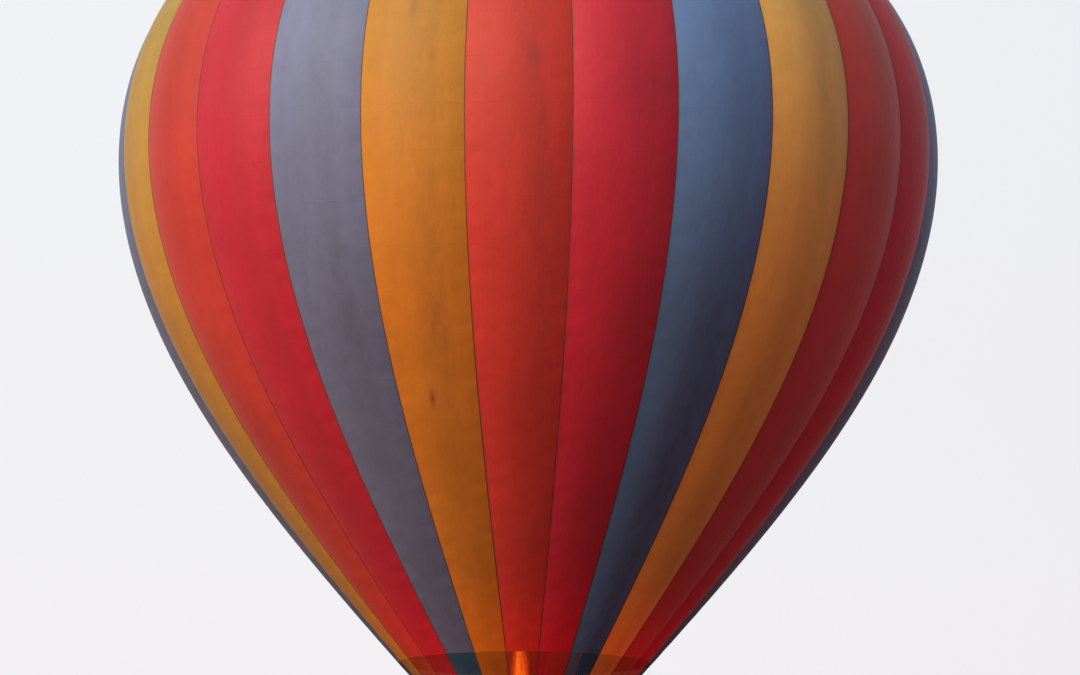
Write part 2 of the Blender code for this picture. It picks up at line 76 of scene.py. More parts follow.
cameraView = {
    "distance": 350.6,  # from the middle of the envelope's widest circle
    "azimuth": 1.33,  # degrees
    "below": 8.11,  # degrees under the envelope's level
    "lens": 368.26,
    "sensor": 36.0,
    "tiltDown": 0.918,  # degrees from the envelope's middle to the middle of the picture
    "panRight": 0.062,
    "roll": 0.33,
    "eyeHeight": 1.5,
}

studio = {
    "haze": (0.895, 0.872, 0.893),
    "sky": (0.866, 0.889, 0.920),
    "hazeLevels": (0.085, 0.165),  # sine of the elevation where the haze ends
    "floorSeen": (0.474, 0.484, 0.578),
    "floorBounce": (0.130, 0.045, 0.034),
    "floorSize": 9000.0,
    "keyStrength": 6.2,
    "keyColour": (1.0, 0.92, 0.63),
    "keyFrom": (-45.0, 30.0),  # azimuth and elevation, degrees
    "keySpread": 50.0,
}


def outward(azimuth, elevation=0.0):
    level = math.cos(elevation)
    return Vector((math.sin(azimuth) * level, -math.cos(azimuth) * level, math.sin(elevation)))


def addObject(name, data):
    made = bpy.data.objects.new(name, data)
    scene.collection.objects.link(made)
    return made


def makeCamera():
    away = outward(math.radians(cameraView["azimuth"]), -math.radians(cameraView["below"]))
    lens = bpy.data.cameras.new("groundCamera")
    lens.lens = cameraView["lens"]
    lens.sensor_width = cameraView["sensor"]
    lens.clip_start, lens.clip_end = 1.0, studio["floorSize"]
    camera = addObject("groundCamera", lens)
    aim = (-away).to_track_quat("-Z", "Y").to_matrix()
    aim = aim @ Matrix.Rotation(math.radians(cameraView["roll"]), 3, "Z")
    aim = aim @ Matrix.Rotation(-math.radians(cameraView["panRight"]), 3, "Y")
    aim = aim @ Matrix.Rotation(-math.radians(cameraView["tiltDown"]), 3, "X")
    camera.matrix_world = Matrix.Translation(away * cameraView["distance"]) @ aim.to_4x4()
    scene.camera = camera
    return camera


# Short forms for node trees, used for shaders and for Geometry Nodes


def node(tree, kind, inputs=None, **settings):
    made = tree.nodes.new(kind)
    for key, value in settings.items():
        setattr(made, key, value)
    for key, value in (inputs or {}).items():
        if isinstance(value, bpy.types.NodeSocket):
            tree.links.new(value, made.inputs[key])
        else:
            made.inputs[key].default_value = value
    return made


def calc(tree, operation, a, b=0.0, clamp=False):
    return node(tree, "ShaderNodeMath", {0: a, 1: b}, operation=operation, use_clamp=clamp).outputs[0]


def mixColour(tree, factor, a, b, blend="MIX"):
    settings = {"data_type": "RGBA", "blend_type": blend}
    return node(tree, "ShaderNodeMix", {0: factor, 6: a, 7: b}, **settings).outputs[2]


def noise(tree, vector, scale, detail=3.0, roughness=0.55):
    inputs = {"Vector": vector, "Scale": scale, "Detail": detail, "Roughness": roughness}
    return node(tree, "ShaderNodeTexNoise", inputs).outputs[0]


def stretched(tree, vector, scale):
    return node(tree, "ShaderNodeMapping", {"Vector": vector, "Scale": scale}).outputs[0]


def between(tree, value, low, high, start=0.0, end=1.0):
    return node(tree, "ShaderNodeMapRange", {0: value, 1: low, 2: high, 3: start, 4: end}).outputs[0]


def rgb(colour):
    return (*colour, 1.0)


def makeWorld():
    world = bpy.data.worlds.new("paleSky")
    scene.world = world
    world.use_nodes = True
    tree = world.node_tree
    tree.nodes.clear()
    direction = node(tree, "ShaderNodeTexCoord").outputs["Generated"]
    split = node(tree, "ShaderNodeSeparateXYZ", {0: direction})
    rise = between(tree, split.outputs[2], *studio["hazeLevels"])
    colour = mixColour(tree, rise, rgb(studio["haze"]), rgb(studio["sky"]))
    dim = between(tree, split.outputs[0], -0.03, 0.03, 1.0, 0.965)
    sky = node(tree, "ShaderNodeBackground", {"Color": colour, "Strength": dim}).outputs[0]
    node(tree, "ShaderNodeOutputWorld", {0: sky})


def makeFloor(level):
    # Pale, and see-through from underneath for views from below.
    half = studio["floorSize"] / 2
    mesh = bpy.data.meshes.new("paleFloor")
    corners = [(-half, -half, level), (half, -half, level), (half, half, level), (-half, half, level)]
    mesh.from_pydata(corners, [], [(0, 1, 2, 3)])
    made = bpy.data.materials.new("paleFloor")
    made.use_nodes = True
    tree = made.node_tree
    tree.nodes.clear()
    seen = node(tree, "ShaderNodeBsdfDiffuse", {"Color": rgb(studio["floorSeen"])}).outputs[0]
    bounce = node(tree, "ShaderNodeBsdfDiffuse", {"Color": rgb(studio["floorBounce"])}).outputs[0]
    clear = node(tree, "ShaderNodeBsdfTransparent").outputs[0]
    ray = node(tree, "ShaderNodeLightPath").outputs["Is Camera Ray"]
    back = node(tree, "ShaderNodeNewGeometry").outputs["Backfacing"]
    top = node(tree, "ShaderNodeMixShader", {0: ray, 1: bounce, 2: seen}).outputs[0]
    mixed = node(tree, "ShaderNodeMixShader", {0: back, 1: top, 2: clear}).outputs[0]
    node(tree, "ShaderNodeOutputMaterial", {0: mixed})
    mesh.materials.append(made)
    addObject("paleFloor", mesh)


def makeLight():
    azimuth, elevation = (math.radians(angle) for angle in studio["keyFrom"])
    lamp = bpy.data.lights.new("softKey", "SUN")
    lamp.energy = studio["keyStrength"]
    lamp.color = studio["keyColour"]
    lamp.angle = math.radians(studio["keySpread"])
    toLight = outward(azimuth, elevation)
    made = addObject("softKey", lamp)
    made.rotation_euler = toLight.to_track_quat("Z", "Y").to_euler()


camera = makeCamera()
makeWorld()
makeFloor(camera.location.z - cameraView["eyeHeight"])
makeLight()
scene.view_settings.view_transform = "Standard"
print("camera, sky and floor made")


# Finishes


def newFinish(name, roughness, metallic=0.0, specular=0.5):
    made = bpy.data.materials.new(name)
    made.use_nodes = True
    tree = made.node_tree
    shader = tree.nodes["Principled BSDF"]
    shader.inputs["Roughness"].default_value = roughness
    shader.inputs["Metallic"].default_value = metallic
    shader.inputs["Specular IOR Level"].default_value = specular
    return made, tree, shader


def placeOf(tree):
    return node(tree, "ShaderNodeTexCoord").outputs["Object"]


def bumped(tree, shader, height, distance, strength=1.0):
    inputs = {"Height": height, "Distance": distance, "Strength": strength}
    made = node(tree, "ShaderNodeBump", inputs)
    tree.links.new(made.outputs[0], shader.inputs["Normal"])
    return made


clothLook = {
    "roughness": 0.60,
    "specular": 0.20,
    "sheen": 0.04,
    "dullLow": -16.0,
    "dullHigh": -12.5,
    "dullShare": 0.2,
    "cloudScale": 0.30,  # per metre: the soft mottling is about three metres across
    "cloudDepth": 0.40,
    "streakScale": (1.5, 0.12, 1.0),
    "streakDepth": 0.30,
    "fineScale": 2.4,
    "fineDepth": 0.10,
    "panelHeight": 1.45,
    "panelLine": 0.012,
    "panelLineDepth": 0.05,
    "panelTone": 0.025,
    "ripstop": 0.012,
    "fadeAndShadeLow": -6.0,
    "fadeAndShadeHigh": 5.0,
    "sootAndShadeColour": (0.026, 0.017, 0.018),
    "sootAndShadeDepth": 0.80,
}

# Each colour low on the envelope and near the top. The change between them is partly sun fade and partly painted light
# and shade, fitted to how light falls from the top of the envelope to the bottom.
clothColours = {
    "orange": ((0.372, 0.0215, 0.0175), (0.253, 0.0142, 0.0096)),
    "crimson": ((0.335, 0.0090, 0.0240), (0.245, 0.0045, 0.0190)),
    "slate": ((0.068, 0.0780, 0.1480), (0.074, 0.0950, 0.2000)),
    "gold": ((0.405, 0.1240, 0.0175), (0.252, 0.1280, 0.0240)),
}

glow = {"from": -12.0, "to": -16.03, "strength": 0.45, "onSlate": 0.12, "tint": (1.0, 0.06, 0.0)}


def clothPattern(tree, colours, tone=1.0):
    # Colour of the sewn nylon, with clouds, streaks and panels. Its blend by height is partly sun fade and partly
    # painted light and shade; the darkening towards the mouth is partly soot and partly painted shade.
    s = clothLook
    place = placeOf(tree)
    along = node(tree, "ShaderNodeUVMap", uv_map="clothMap").outputs[0]
    height = node(tree, "ShaderNodeSeparateXYZ", {0: place}).outputs[2]
    # Painted light and shade, partly sun fade: the blend from the low colour to the high one by height.
    fadeAndShade = between(tree, height, s["fadeAndShadeLow"], s["fadeAndShadeHigh"])
    base = mixColour(tree, fadeAndShade, rgb(colours[0]), rgb(colours[1]))
    # Per-gore painted light and shade.
    tint = node(tree, "ShaderNodeAttribute", attribute_name="goreLightTint").outputs["Color"]
    base = mixColour(tree, 1.0, base, tint, "MULTIPLY")
    clouds = calc(tree, "MULTIPLY", calc(tree, "SUBTRACT", noise(tree, place, s["cloudScale"], 4), 0.5), s["cloudDepth"])
    streakPlace = stretched(tree, along, s["streakScale"])
    streaks = calc(tree, "SUBTRACT", noise(tree, streakPlace, 1.0, 5, 0.6), 0.5)
    streaks = calc(tree, "MULTIPLY", streaks, s["streakDepth"])
    fine = calc(tree, "SUBTRACT", noise(tree, place, s["fineScale"], 3), 0.5)
    fine = calc(tree, "MULTIPLY", fine, s["fineDepth"])
    split = node(tree, "ShaderNodeSeparateXYZ", {0: along})
    rows = calc(tree, "DIVIDE", split.outputs[1], s["panelHeight"])
    gore = node(tree, "ShaderNodeAttribute", attribute_name="goreNumber").outputs["Fac"]
    panel = node(tree, "ShaderNodeCombineXYZ", {0: calc(tree, "FLOOR", rows), 1: gore}).outputs[0]
    chance = node(tree, "ShaderNodeTexWhiteNoise", {"Vector": panel}, noise_dimensions="2D").outputs[0]
    panelTone = calc(tree, "MULTIPLY", calc(tree, "SUBTRACT", chance, 0.5), s["panelTone"])
    total = calc(tree, "ADD", calc(tree, "ADD", clouds, streaks), calc(tree, "ADD", fine, panelTone))
    total = calc(tree, "MULTIPLY", calc(tree, "ADD", total, 1.0), tone)
    line = calc(tree, "PINGPONG", rows, 0.5)
    line = between(tree, line, s["panelLine"] / s["panelHeight"], 0.0)
    total = calc(tree, "MULTIPLY", total, calc(tree, "SUBTRACT", 1.0, calc(tree, "MULTIPLY", line, s["panelLineDepth"])))
    shade = node(tree, "ShaderNodeCombineXYZ", {0: total, 1: total, 2: total}).outputs[0]
    coloured = mixColour(tree, 1.0, base, shade, "MULTIPLY")
    # Soot and painted shade: the dark colour laid on by the per-point mask.
    sootAndShade = node(tree, "ShaderNodeAttribute", attribute_name="sootAndShade").outputs["Fac"]
    rough = noise(tree, stretched(tree, along, (1.0, 0.45, 1.0)), 2.6, 5, 0.65)
    rough = between(tree, rough, 0.36, 0.62, 0.5, 1.0)
    sootAndShade = calc(tree, "MULTIPLY", sootAndShade, calc(tree, "MULTIPLY", rough, s["sootAndShadeDepth"]), True)
    return mixColour(tree, sootAndShade, coloured, rgb(s["sootAndShadeColour"])), along, line


def clothWeave(tree, shader, along, line):
    # Ripstop squares, a flat seam between panels, and a slack surface between the tapes.
    s = clothLook
    split = node(tree, "ShaderNodeSeparateXYZ", {0: along})
    heights = []
    for axis in (0, 1):
        step = calc(tree, "PINGPONG", calc(tree, "DIVIDE", split.outputs[axis], s["ripstop"]), 0.5)
        heights.append(between(tree, step, 0.08, 0.0))
    grid = calc(tree, "MAXIMUM", *heights)
    ripples = noise(tree, stretched(tree, along, (2.2, 0.9, 1.0)), 1.0, 4, 0.5)
    height = calc(tree, "ADD", calc(tree, "MULTIPLY", grid, 0.01), calc(tree, "MULTIPLY", line, 0.10))
    height = calc(tree, "ADD", height, ripples)
    bumped(tree, shader, height, 0.035, 0.6)


def clothFinish(name, dyes, glowStrength):
    s = clothLook
    made, tree, shader = newFinish(name, s["roughness"], 0.0, s["specular"])
    made.cycles.emission_sampling = "NONE"
    shader.inputs["Sheen Roughness"].default_value = 0.45
    colour, along, line = clothPattern(tree, dyes)
    tree.links.new(colour, shader.inputs["Base Color"])
    clothWeave(tree, shader, along, line)
    height = node(tree, "ShaderNodeSeparateXYZ", {0: placeOf(tree)}).outputs[2]
    # Smoke and heat have dulled the coating low down.
    dulled = between(tree, height, s["dullLow"], s["dullHigh"], s["dullShare"], 1.0)
    shine = calc(tree, "MULTIPLY", dulled, s["specular"])
    tree.links.new(shine, shader.inputs["Specular IOR Level"])
    tree.links.new(calc(tree, "MULTIPLY", dulled, s["sheen"]), shader.inputs["Sheen Weight"])
    # Painted glow: emission stands in for the burner's light on the cloth from inside, most of all just above the
    # heat-proof band.
    glowMask = between(tree, height, glow["from"], glow["to"])
    glowMask = calc(tree, "POWER", glowMask, 2.2)
    # The painted glow where the flame shows through, from the per-point mask.
    heat = node(tree, "ShaderNodeAttribute", attribute_name="heat").outputs["Fac"]
    glowMask = calc(tree, "ADD", glowMask, heat)
    tree.links.new(calc(tree, "MULTIPLY", glowMask, glowStrength), shader.inputs["Emission Strength"])
    lit = mixColour(tree, 1.0, colour, rgb(glow["tint"]), "MULTIPLY")
    tree.links.new(lit, shader.inputs["Emission Color"])
    return made


insideGlow = {"strength": 0.62, "low": -19.0, "high": 6.0, "leastShare": 0.30}


def insideFinish(name, dyes):
    # The inner face of the cloth, with a painted glow that stands in for the daylight coming through it, weaker towards
    # the mouth.
    s = insideGlow
    made, tree, shader = newFinish(name, 0.75, 0.0, 0.1)
    made.cycles.emission_sampling = "NONE"
    colour, along, line = clothPattern(tree, dyes)
    tree.links.new(colour, shader.inputs["Base Color"])
    height = node(tree, "ShaderNodeSeparateXYZ", {0: placeOf(tree)}).outputs[2]
    share = between(tree, height, s["low"], s["high"], s["strength"] * s["leastShare"], s["strength"])
    tree.links.new(share, shader.inputs["Emission Strength"])
    tree.links.new(colour, shader.inputs["Emission Color"])
    return made


throatLook = {
    "seeThrough": 0.42,
    "tint": (1.0, 0.80, 0.70),
    "glow": 0.42,
    "glowOnSlate": 0.0,
    "heatGlow": 1.6,
    "orange": (0.24, 0.033, 0.013),
    "crimson": (0.24, 0.008, 0.022),
    "slate": (0.020, 0.063, 0.125),
    "gold": (0.30, 0.132, 0.018),
}


def throatFinish(name, dye, glowStrength):
    # Heat-proof cloth near the mouth, thin enough for the flame to show through.
    made, tree, shader = newFinish(name, 0.7, 0.0, 0.06)
    made.cycles.emission_sampling = "NONE"
    colour, along, line = clothPattern(tree, (dye, dye))
    tree.links.new(colour, shader.inputs["Base Color"])
    clothWeave(tree, shader, along, line)
    # Painted glow: emission stands in for the flame's light through this cloth, strongest where the flame shows
    # through.
    heat = node(tree, "ShaderNodeAttribute", attribute_name="heat").outputs["Fac"]
    heat = calc(tree, "ADD", calc(tree, "MULTIPLY", heat, throatLook["heatGlow"]), glowStrength)
    tree.links.new(heat, shader.inputs["Emission Strength"])
    lit = mixColour(tree, 1.0, colour, rgb(glow["tint"]), "MULTIPLY")
    tree.links.new(lit, shader.inputs["Emission Color"])
    clear = node(tree, "ShaderNodeBsdfTransparent", {"Color": rgb(throatLook["tint"])}).outputs[0]
    inputs = {0: throatLook["seeThrough"], 1: shader.outputs[0], 2: clear}
    mixed = node(tree, "ShaderNodeMixShader", inputs).outputs[0]
    tree.links.new(mixed, tree.nodes["Material Output"].inputs[0])
    return made


def webbingFinish(name, colour, metalWithin=None):
    # Flat woven tape; within a radius of the axis it is the cast crown ring instead.
    made, tree, shader = newFinish(name, 0.78)
    place = placeOf(tree)
    tone = between(tree, noise(tree, place, 1.4, 5), 0.3, 0.7, 0.75, 1.25)
    shade = node(tree, "ShaderNodeCombineXYZ", {0: tone, 1: tone, 2: tone}).outputs[0]
    base = mixColour(tree, 1.0, rgb(colour), shade, "MULTIPLY")
    ribs = node(tree, "ShaderNodeTexWave", {"Vector": place, "Scale": 60.0, "Distortion": 0.6}).outputs[1]
    if metalWithin:
        flat = stretched(tree, place, (1.0, 1.0, 0.0))
        radius = node(tree, "ShaderNodeVectorMath", {0: flat}, operation="LENGTH").outputs["Value"]
        metal = calc(tree, "LESS_THAN", radius, metalWithin)
        base = mixColour(tree, metal, base, rgb((0.55, 0.56, 0.58)))
        tree.links.new(metal, shader.inputs["Metallic"])
        tree.links.new(between(tree, metal, 0.0, 1.0, 0.78, 0.34), shader.inputs["Roughness"])
    tree.links.new(base, shader.inputs["Base Color"])
    bumped(tree, shader, ribs, 0.0006, 0.5)
    return made


def steelFinish(name, colour, roughness, heat=None):
    # Brushed steel with smears; heat gives the level span over which it is blued and browned.
    made, tree, shader = newFinish(name, roughness, 1.0)
    place = placeOf(tree)
    brushed = noise(tree, stretched(tree, place, (60.0, 60.0, 4.0)), 1.0, 3)
    smear = noise(tree, place, 5.0, 4)
    tone = between(tree, smear, 0.3, 0.7, 0.92, 1.04)
    shade = node(tree, "ShaderNodeCombineXYZ", {0: tone, 1: tone, 2: tone}).outputs[0]
    base = mixColour(tree, 1.0, rgb(colour), shade, "MULTIPLY")
    if heat:
        level = node(tree, "ShaderNodeSeparateXYZ", {0: place}).outputs[2]
        level = calc(tree, "ADD", level, calc(tree, "MULTIPLY", smear, 0.10))
        ramp = node(tree, "ShaderNodeValToRGB", {0: between(tree, level, *heat)})
        stops = ramp.color_ramp.elements
        stops[0].color = rgb((1.0, 1.0, 1.0))
        stops[1].color = rgb((0.30, 0.27, 0.30))
        for position, colour in ((0.45, (0.95, 0.80, 0.55)), (0.65, (0.62, 0.42, 0.34)), (0.8, (0.34, 0.36, 0.52))):
            stops.new(position).color = rgb(colour)
        base = mixColour(tree, 1.0, base, ramp.outputs[0], "MULTIPLY")
    tree.links.new(base, shader.inputs["Base Color"])
    tree.links.new(between(tree, brushed, 0.3, 0.7, roughness * 0.8, roughness * 1.35), shader.inputs["Roughness"])
    bumped(tree, shader, brushed, 0.0004, 0.5)
    return made


def leatherFinish(name, colour, wear):
    made, tree, shader = newFinish(name, 0.5, 0.0, 0.45)
    place = placeOf(tree)
    grain = node(tree, "ShaderNodeTexVoronoi", {"Vector": place, "Scale": 260.0}).outputs[0]
    creases = noise(tree, place, 24.0, 5, 0.6)
    patches = noise(tree, place, 3.2, 4, 0.6)
    worn = between(tree, patches, 0.48, 0.72, 0.0, wear)
    pale = tuple(min(1.0, value * 2.6 + 0.04) for value in colour)
    base = mixColour(tree, worn, rgb(colour), rgb(pale))
    dark = between(tree, creases, 0.35, 0.6, 0.72, 1.1)
    shade = node(tree, "ShaderNodeCombineXYZ", {0: dark, 1: dark, 2: dark}).outputs[0]
    tree.links.new(mixColour(tree, 1.0, base, shade, "MULTIPLY"), shader.inputs["Base Color"])
    tree.links.new(between(tree, patches, 0.3, 0.7, 0.42, 0.68), shader.inputs["Roughness"])
    height = calc(tree, "ADD", calc(tree, "MULTIPLY", grain, 0.35), creases)
    bumped(tree, shader, height, 0.0015, 0.6)
    return made


def wickerFinish(name, pale, dark):
    # Split cane: honey and brown strands, with fine fibres along them and grime between.
    made, tree, shader = newFinish(name, 0.62, 0.0, 0.35)
    place = placeOf(tree)
    strand = noise(tree, stretched(tree, place, (1.6, 1.6, 50.0)), 1.0, 2)
    fibre = noise(tree, stretched(tree, place, (30.0, 30.0, 260.0)), 1.0, 3)
    stain = noise(tree, place, 2.1, 4, 0.6)
    base = mixColour(tree, between(tree, strand, 0.32, 0.66), rgb(dark), rgb(pale))
    tone = calc(tree, "MULTIPLY", between(tree, fibre, 0.3, 0.7, 0.78, 1.12), between(tree, stain, 0.3, 0.7, 0.72, 1.1))
    shade = node(tree, "ShaderNodeCombineXYZ", {0: tone, 1: tone, 2: tone}).outputs[0]
    tree.links.new(mixColour(tree, 1.0, base, shade, "MULTIPLY"), shader.inputs["Base Color"])
    bumped(tree, shader, fibre, 0.0008, 0.5)
    return made


def woodFinish(name, pale, dark, along, scuff):
    # Grain that runs along X; along is how many times longer than wide it is.
    made, tree, shader = newFinish(name, 0.58, 0.0, 0.35)
    place = placeOf(tree)
    flow = stretched(tree, place, (2.0, 2.0 * along, 2.0 * along))
    rings = noise(tree, flow, 1.0, 6, 0.62)
    pores = noise(tree, stretched(tree, place, (12.0, 160.0, 160.0)), 1.0, 3)
    base = mixColour(tree, between(tree, rings, 0.34, 0.66), rgb(dark), rgb(pale))
    worn = between(tree, noise(tree, place, 3.0, 5, 0.6), 0.5, 0.75, 0.0, scuff)
    base = mixColour(tree, worn, base, rgb((0.16, 0.13, 0.10)))
    tree.links.new(base, shader.inputs["Base Color"])
    bumped(tree, shader, calc(tree, "ADD", rings, calc(tree, "MULTIPLY", pores, 0.6)), 0.0009, 0.5)
    return made


def flameFinish(name, colour, strength, clearness):
    made, tree, shader = newFinish(name, 1.0)
    tree.nodes.remove(shader)
    height = node(tree, "ShaderNodeSeparateXYZ", {0: placeOf(tree)}).outputs[2]
    licks = noise(tree, stretched(tree, placeOf(tree), (5.0, 5.0, 1.1)), 1.0, 3)
    rise = between(tree, height, flame["tip"] - flame["height"], flame["tip"] - flame["height"] + 0.7)
    tint = mixColour(tree, rise, rgb((0.16, 0.16, 0.60)), rgb(colour))
    power = between(tree, licks, 0.35, 0.65, strength * 0.55, strength * 1.25)
    power = calc(tree, "MULTIPLY", power, between(tree, rise, 0.0, 1.0, 0.12, 1.0))
    light = node(tree, "ShaderNodeEmission", {"Color": tint, "Strength": power}).outputs[0]
    clear = node(tree, "ShaderNodeBsdfTransparent").outputs[0]
    mixed = node(tree, "ShaderNodeMixShader", {0: clearness, 1: light, 2: clear}).outputs[0]
    tree.links.new(mixed, tree.nodes["Material Output"].inputs[0])
    return made


def dress(nodeNames, finish):
    for name in nodeNames:
        for held in frame["nodes"][name].material_slots:
            held.material = finish


# Shapes from points and faces


def keep(name, points, faces, finish, body, slotName, smooth=38):
    mesh = bpy.data.meshes.new(name)
    mesh.from_pydata([tuple(p) for p in points], [], faces)
    mesh.materials.append(finish)
    if smooth:
        mesh.shade_smooth()
        mesh.set_sharp_from_angle(angle=math.radians(smooth))
    made = addObject(name, mesh)
    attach(made, body)
    return made


def fixNormals(made):
    mesh = bmesh.new()
    mesh.from_mesh(made.data)
    bmesh.ops.recalc_face_normals(mesh, faces=mesh.faces)
    mesh.to_mesh(made.data)
    mesh.free()


def merged(parts):
    points, faces = [], []
    for partPoints, partFaces in parts:
        shift = len(points)
        points.extend(partPoints)
        faces.extend(tuple(k + shift for k in face) for face in partFaces)
    return points, faces


def boxShape(low, high):
    points = [Vector((x, y, z)) for z in (low[2], high[2]) for y in (low[1], high[1]) for x in (low[0], high[0])]
    return points, [(0, 2, 3, 1), (4, 5, 7, 6), (0, 1, 5, 4), (1, 3, 7, 5), (3, 2, 6, 7), (2, 0, 4, 6)]


def turnedShape(profile, centre=(0, 0, 0), sides=24):
    # (radius, height) pairs from the lowest point on the axis out and up to the highest on it.
    points, rings = [], []
    for radius, height in profile:
        count = sides if radius else 1
        rings.append(list(range(len(points), len(points) + count)))
        for k in range(count):
            turn = 2 * math.pi * k / count
            points.append(Vector((radius * math.cos(turn), radius * math.sin(turn), height)) + Vector(centre))
    faces = []
    for lower, upper in zip(rings, rings[1:]):
        for k in range(sides):
            n = (k + 1) % sides
            if len(lower) == 1:
                faces.append((lower[0], upper[n], upper[k]))
            elif len(upper) == 1:
                faces.append((lower[k], lower[n], upper[0]))
            else:
                faces.append((lower[k], lower[n], upper[n], upper[k]))
    return points, faces


def tubeShape(path, radius, sides=8, closed=False, flat=1.0):
    # A tube along a path; flat squeezes it across the first side vector.
    path = [Vector(p) for p in path]
    count = len(path)
    points, faces = [], []
    side = None
    for k, at in enumerate(path):
        before = path[k - 1] if (closed or k) else at
        after = path[(k + 1) % count] if (closed or k < count - 1) else at
        ahead = (after - before).normalized()
        if side is None:
            side = ahead.cross(Vector((0, 0, 1)))
            side = side.normalized() if side.length > 0.05 else Vector((1, 0, 0))
        side = (side - ahead * side.dot(ahead)).normalized()
        rise = side.cross(ahead)
        for j in range(sides):
            turn = 2 * math.pi * j / sides
            points.append(at + side * (radius * flat * math.cos(turn)) + rise * (radius * math.sin(turn)))
    for k in range(count if closed else count - 1):
        m = (k + 1) % count
        for j in range(sides):
            n = (j + 1) % sides
            faces.append((k * sides + j, m * sides + j, m * sides + n, k * sides + n))
    if not closed:
        faces.append(tuple(range(sides)))
        faces.append(tuple(reversed(range((count - 1) * sides, count * sides))))
    return points, faces


def roundedOutline(half, corner, out=0.0, steps=8):
    points = []
    for number, (sx, sy) in enumerate(((1, 1), (-1, 1), (-1, -1), (1, -1))):
        for k in range(steps + 1):
            turn = math.radians(90 * (number + k / steps))
            x = sx * (half[0] - corner) + (corner + out) * math.cos(turn)
            y = sy * (half[1] - corner) + (corner + out) * math.sin(turn)
            points.append((x, y))
    return points


def bandShape(half, corner, section, level, steps=8, centre=(0, 0)):
    # A closed band: a section of (distance out, height), counterclockwise, round an outline.
    loops = [roundedOutline(half, corner, out, steps) for out, height in section]
    count = len(loops[0])
    points = []
    for loop, (out, height) in zip(loops, section):
        points.extend(Vector((x + centre[0], y + centre[1], level + height)) for x, y in loop)
    faces = []
    for j in range(len(section)):
        m = (j + 1) % len(section)
        for i in range(count):
            n = (i + 1) % count
            faces.append((j * count + i, j * count + n, m * count + n, m * count + i))
    return points, faces


def ovalSection(middle, halfWide, halfHigh, sides=12, power=1.0):
    points = []
    for k in range(sides):
        turn = 2 * math.pi * (k + 0.5) / sides
        across, up = math.cos(turn), math.sin(turn)
        across = math.copysign(abs(across) ** power, across)
        up = math.copysign(abs(up) ** power, up)
        points.append((middle[0] + halfWide * across, middle[1] + halfHigh * up))
    return points


# Geometry Nodes: trees for what repeats


def newTree(name, sockets):
    tree = bpy.data.node_groups.new(name, "GeometryNodeTree")
    tree.interface.new_socket("Geometry", in_out="INPUT", socket_type="NodeSocketGeometry")
    for label, kind in sockets:
        tree.interface.new_socket(label, in_out="INPUT", socket_type=f"NodeSocket{kind}")
    tree.interface.new_socket("Geometry", in_out="OUTPUT", socket_type="NodeSocketGeometry")
    return tree, node(tree, "NodeGroupInput").outputs


def endTree(tree, geometry, finish):
    real = node(tree, "GeometryNodeRealizeInstances", {0: geometry}).outputs[0]
    made = node(tree, "GeometryNodeSetMaterial", {"Geometry": real, "Material": finish}).outputs[0]
    node(tree, "NodeGroupOutput", {0: made})


def growPiece(name, points, edges, tree, inputs, body, smooth=50, facing=None, along=None, faces=()):
    # Runs a tree on a small base mesh and keeps the result as a plain mesh.
    base = bpy.data.meshes.new(name)
    base.from_pydata([tuple(p) for p in points], edges, faces)
    for label, vectors in (("facing", facing), ("along", along)):
        if vectors is not None:
            held = base.attributes.new(label, "FLOAT_VECTOR", "POINT")
            held.data.foreach_set("vector", [value for vector in vectors for value in vector])
    made = addObject(name, base)
    modifier = made.modifiers.new("repeat", "NODES")
    modifier.node_group = tree
    for item in tree.interface.items_tree:
        if item.in_out == "INPUT" and item.name in inputs:
            modifier[item.identifier] = inputs[item.name]
    grown = bpy.data.meshes.new_from_object(made.evaluated_get(bpy.context.evaluated_depsgraph_get()))
    made.modifiers.clear()
    made.data = grown
    for label in ("facing", "along"):
        if label in grown.attributes:
            grown.attributes.remove(grown.attributes[label])
    if smooth:
        grown.shade_smooth()
        grown.set_sharp_from_angle(angle=math.radians(smooth))
    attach(made, body)
    print(f"  {name}: {sum(len(p.vertices) - 2 for p in grown.polygons)} triangles")
    return made


def ringTree():
    # Copies of a shape, turned evenly round the Z axis.
    tree, given = newTree("turnedCopies", [("Count", "Int"), ("Finish", "Material")])
    spots = node(tree, "GeometryNodePoints", {"Count": given["Count"]}).outputs[0]
    index = node(tree, "GeometryNodeInputIndex").outputs[0]
    share = calc(tree, "DIVIDE", index, given["Count"])
    turn = node(tree, "ShaderNodeCombineXYZ", {2: calc(tree, "MULTIPLY", share, 2 * math.pi)}).outputs[0]
    inputs = {"Points": spots, "Instance": given["Geometry"], "Rotation": turn}
    endTree(tree, node(tree, "GeometryNodeInstanceOnPoints", inputs).outputs[0], given["Finish"])
    return tree


def scatterTree():
    # One small part on every point, its Z along "facing" and its X along "along".
    tree, given = newTree("partsOnPoints", [("Part", "Object"), ("Finish", "Material")])
    part = node(tree, "GeometryNodeObjectInfo", {"Object": given["Part"]}).outputs["Geometry"]
    turn = None
    for label, axis, pivot in (("facing", "Z", "AUTO"), ("along", "X", "Z")):
        vector = node(tree, "GeometryNodeInputNamedAttribute", {"Name": label}, data_type="FLOAT_VECTOR").outputs[0]
        inputs = {"Vector": vector}
        if turn:
            inputs["Rotation"] = turn
        turn = node(tree, "FunctionNodeAlignRotationToVector", inputs, axis=axis, pivot_axis=pivot).outputs[0]
    inputs = {"Points": given["Geometry"], "Instance": part, "Rotation": turn}
    endTree(tree, node(tree, "GeometryNodeInstanceOnPoints", inputs).outputs[0], given["Finish"])
    return tree


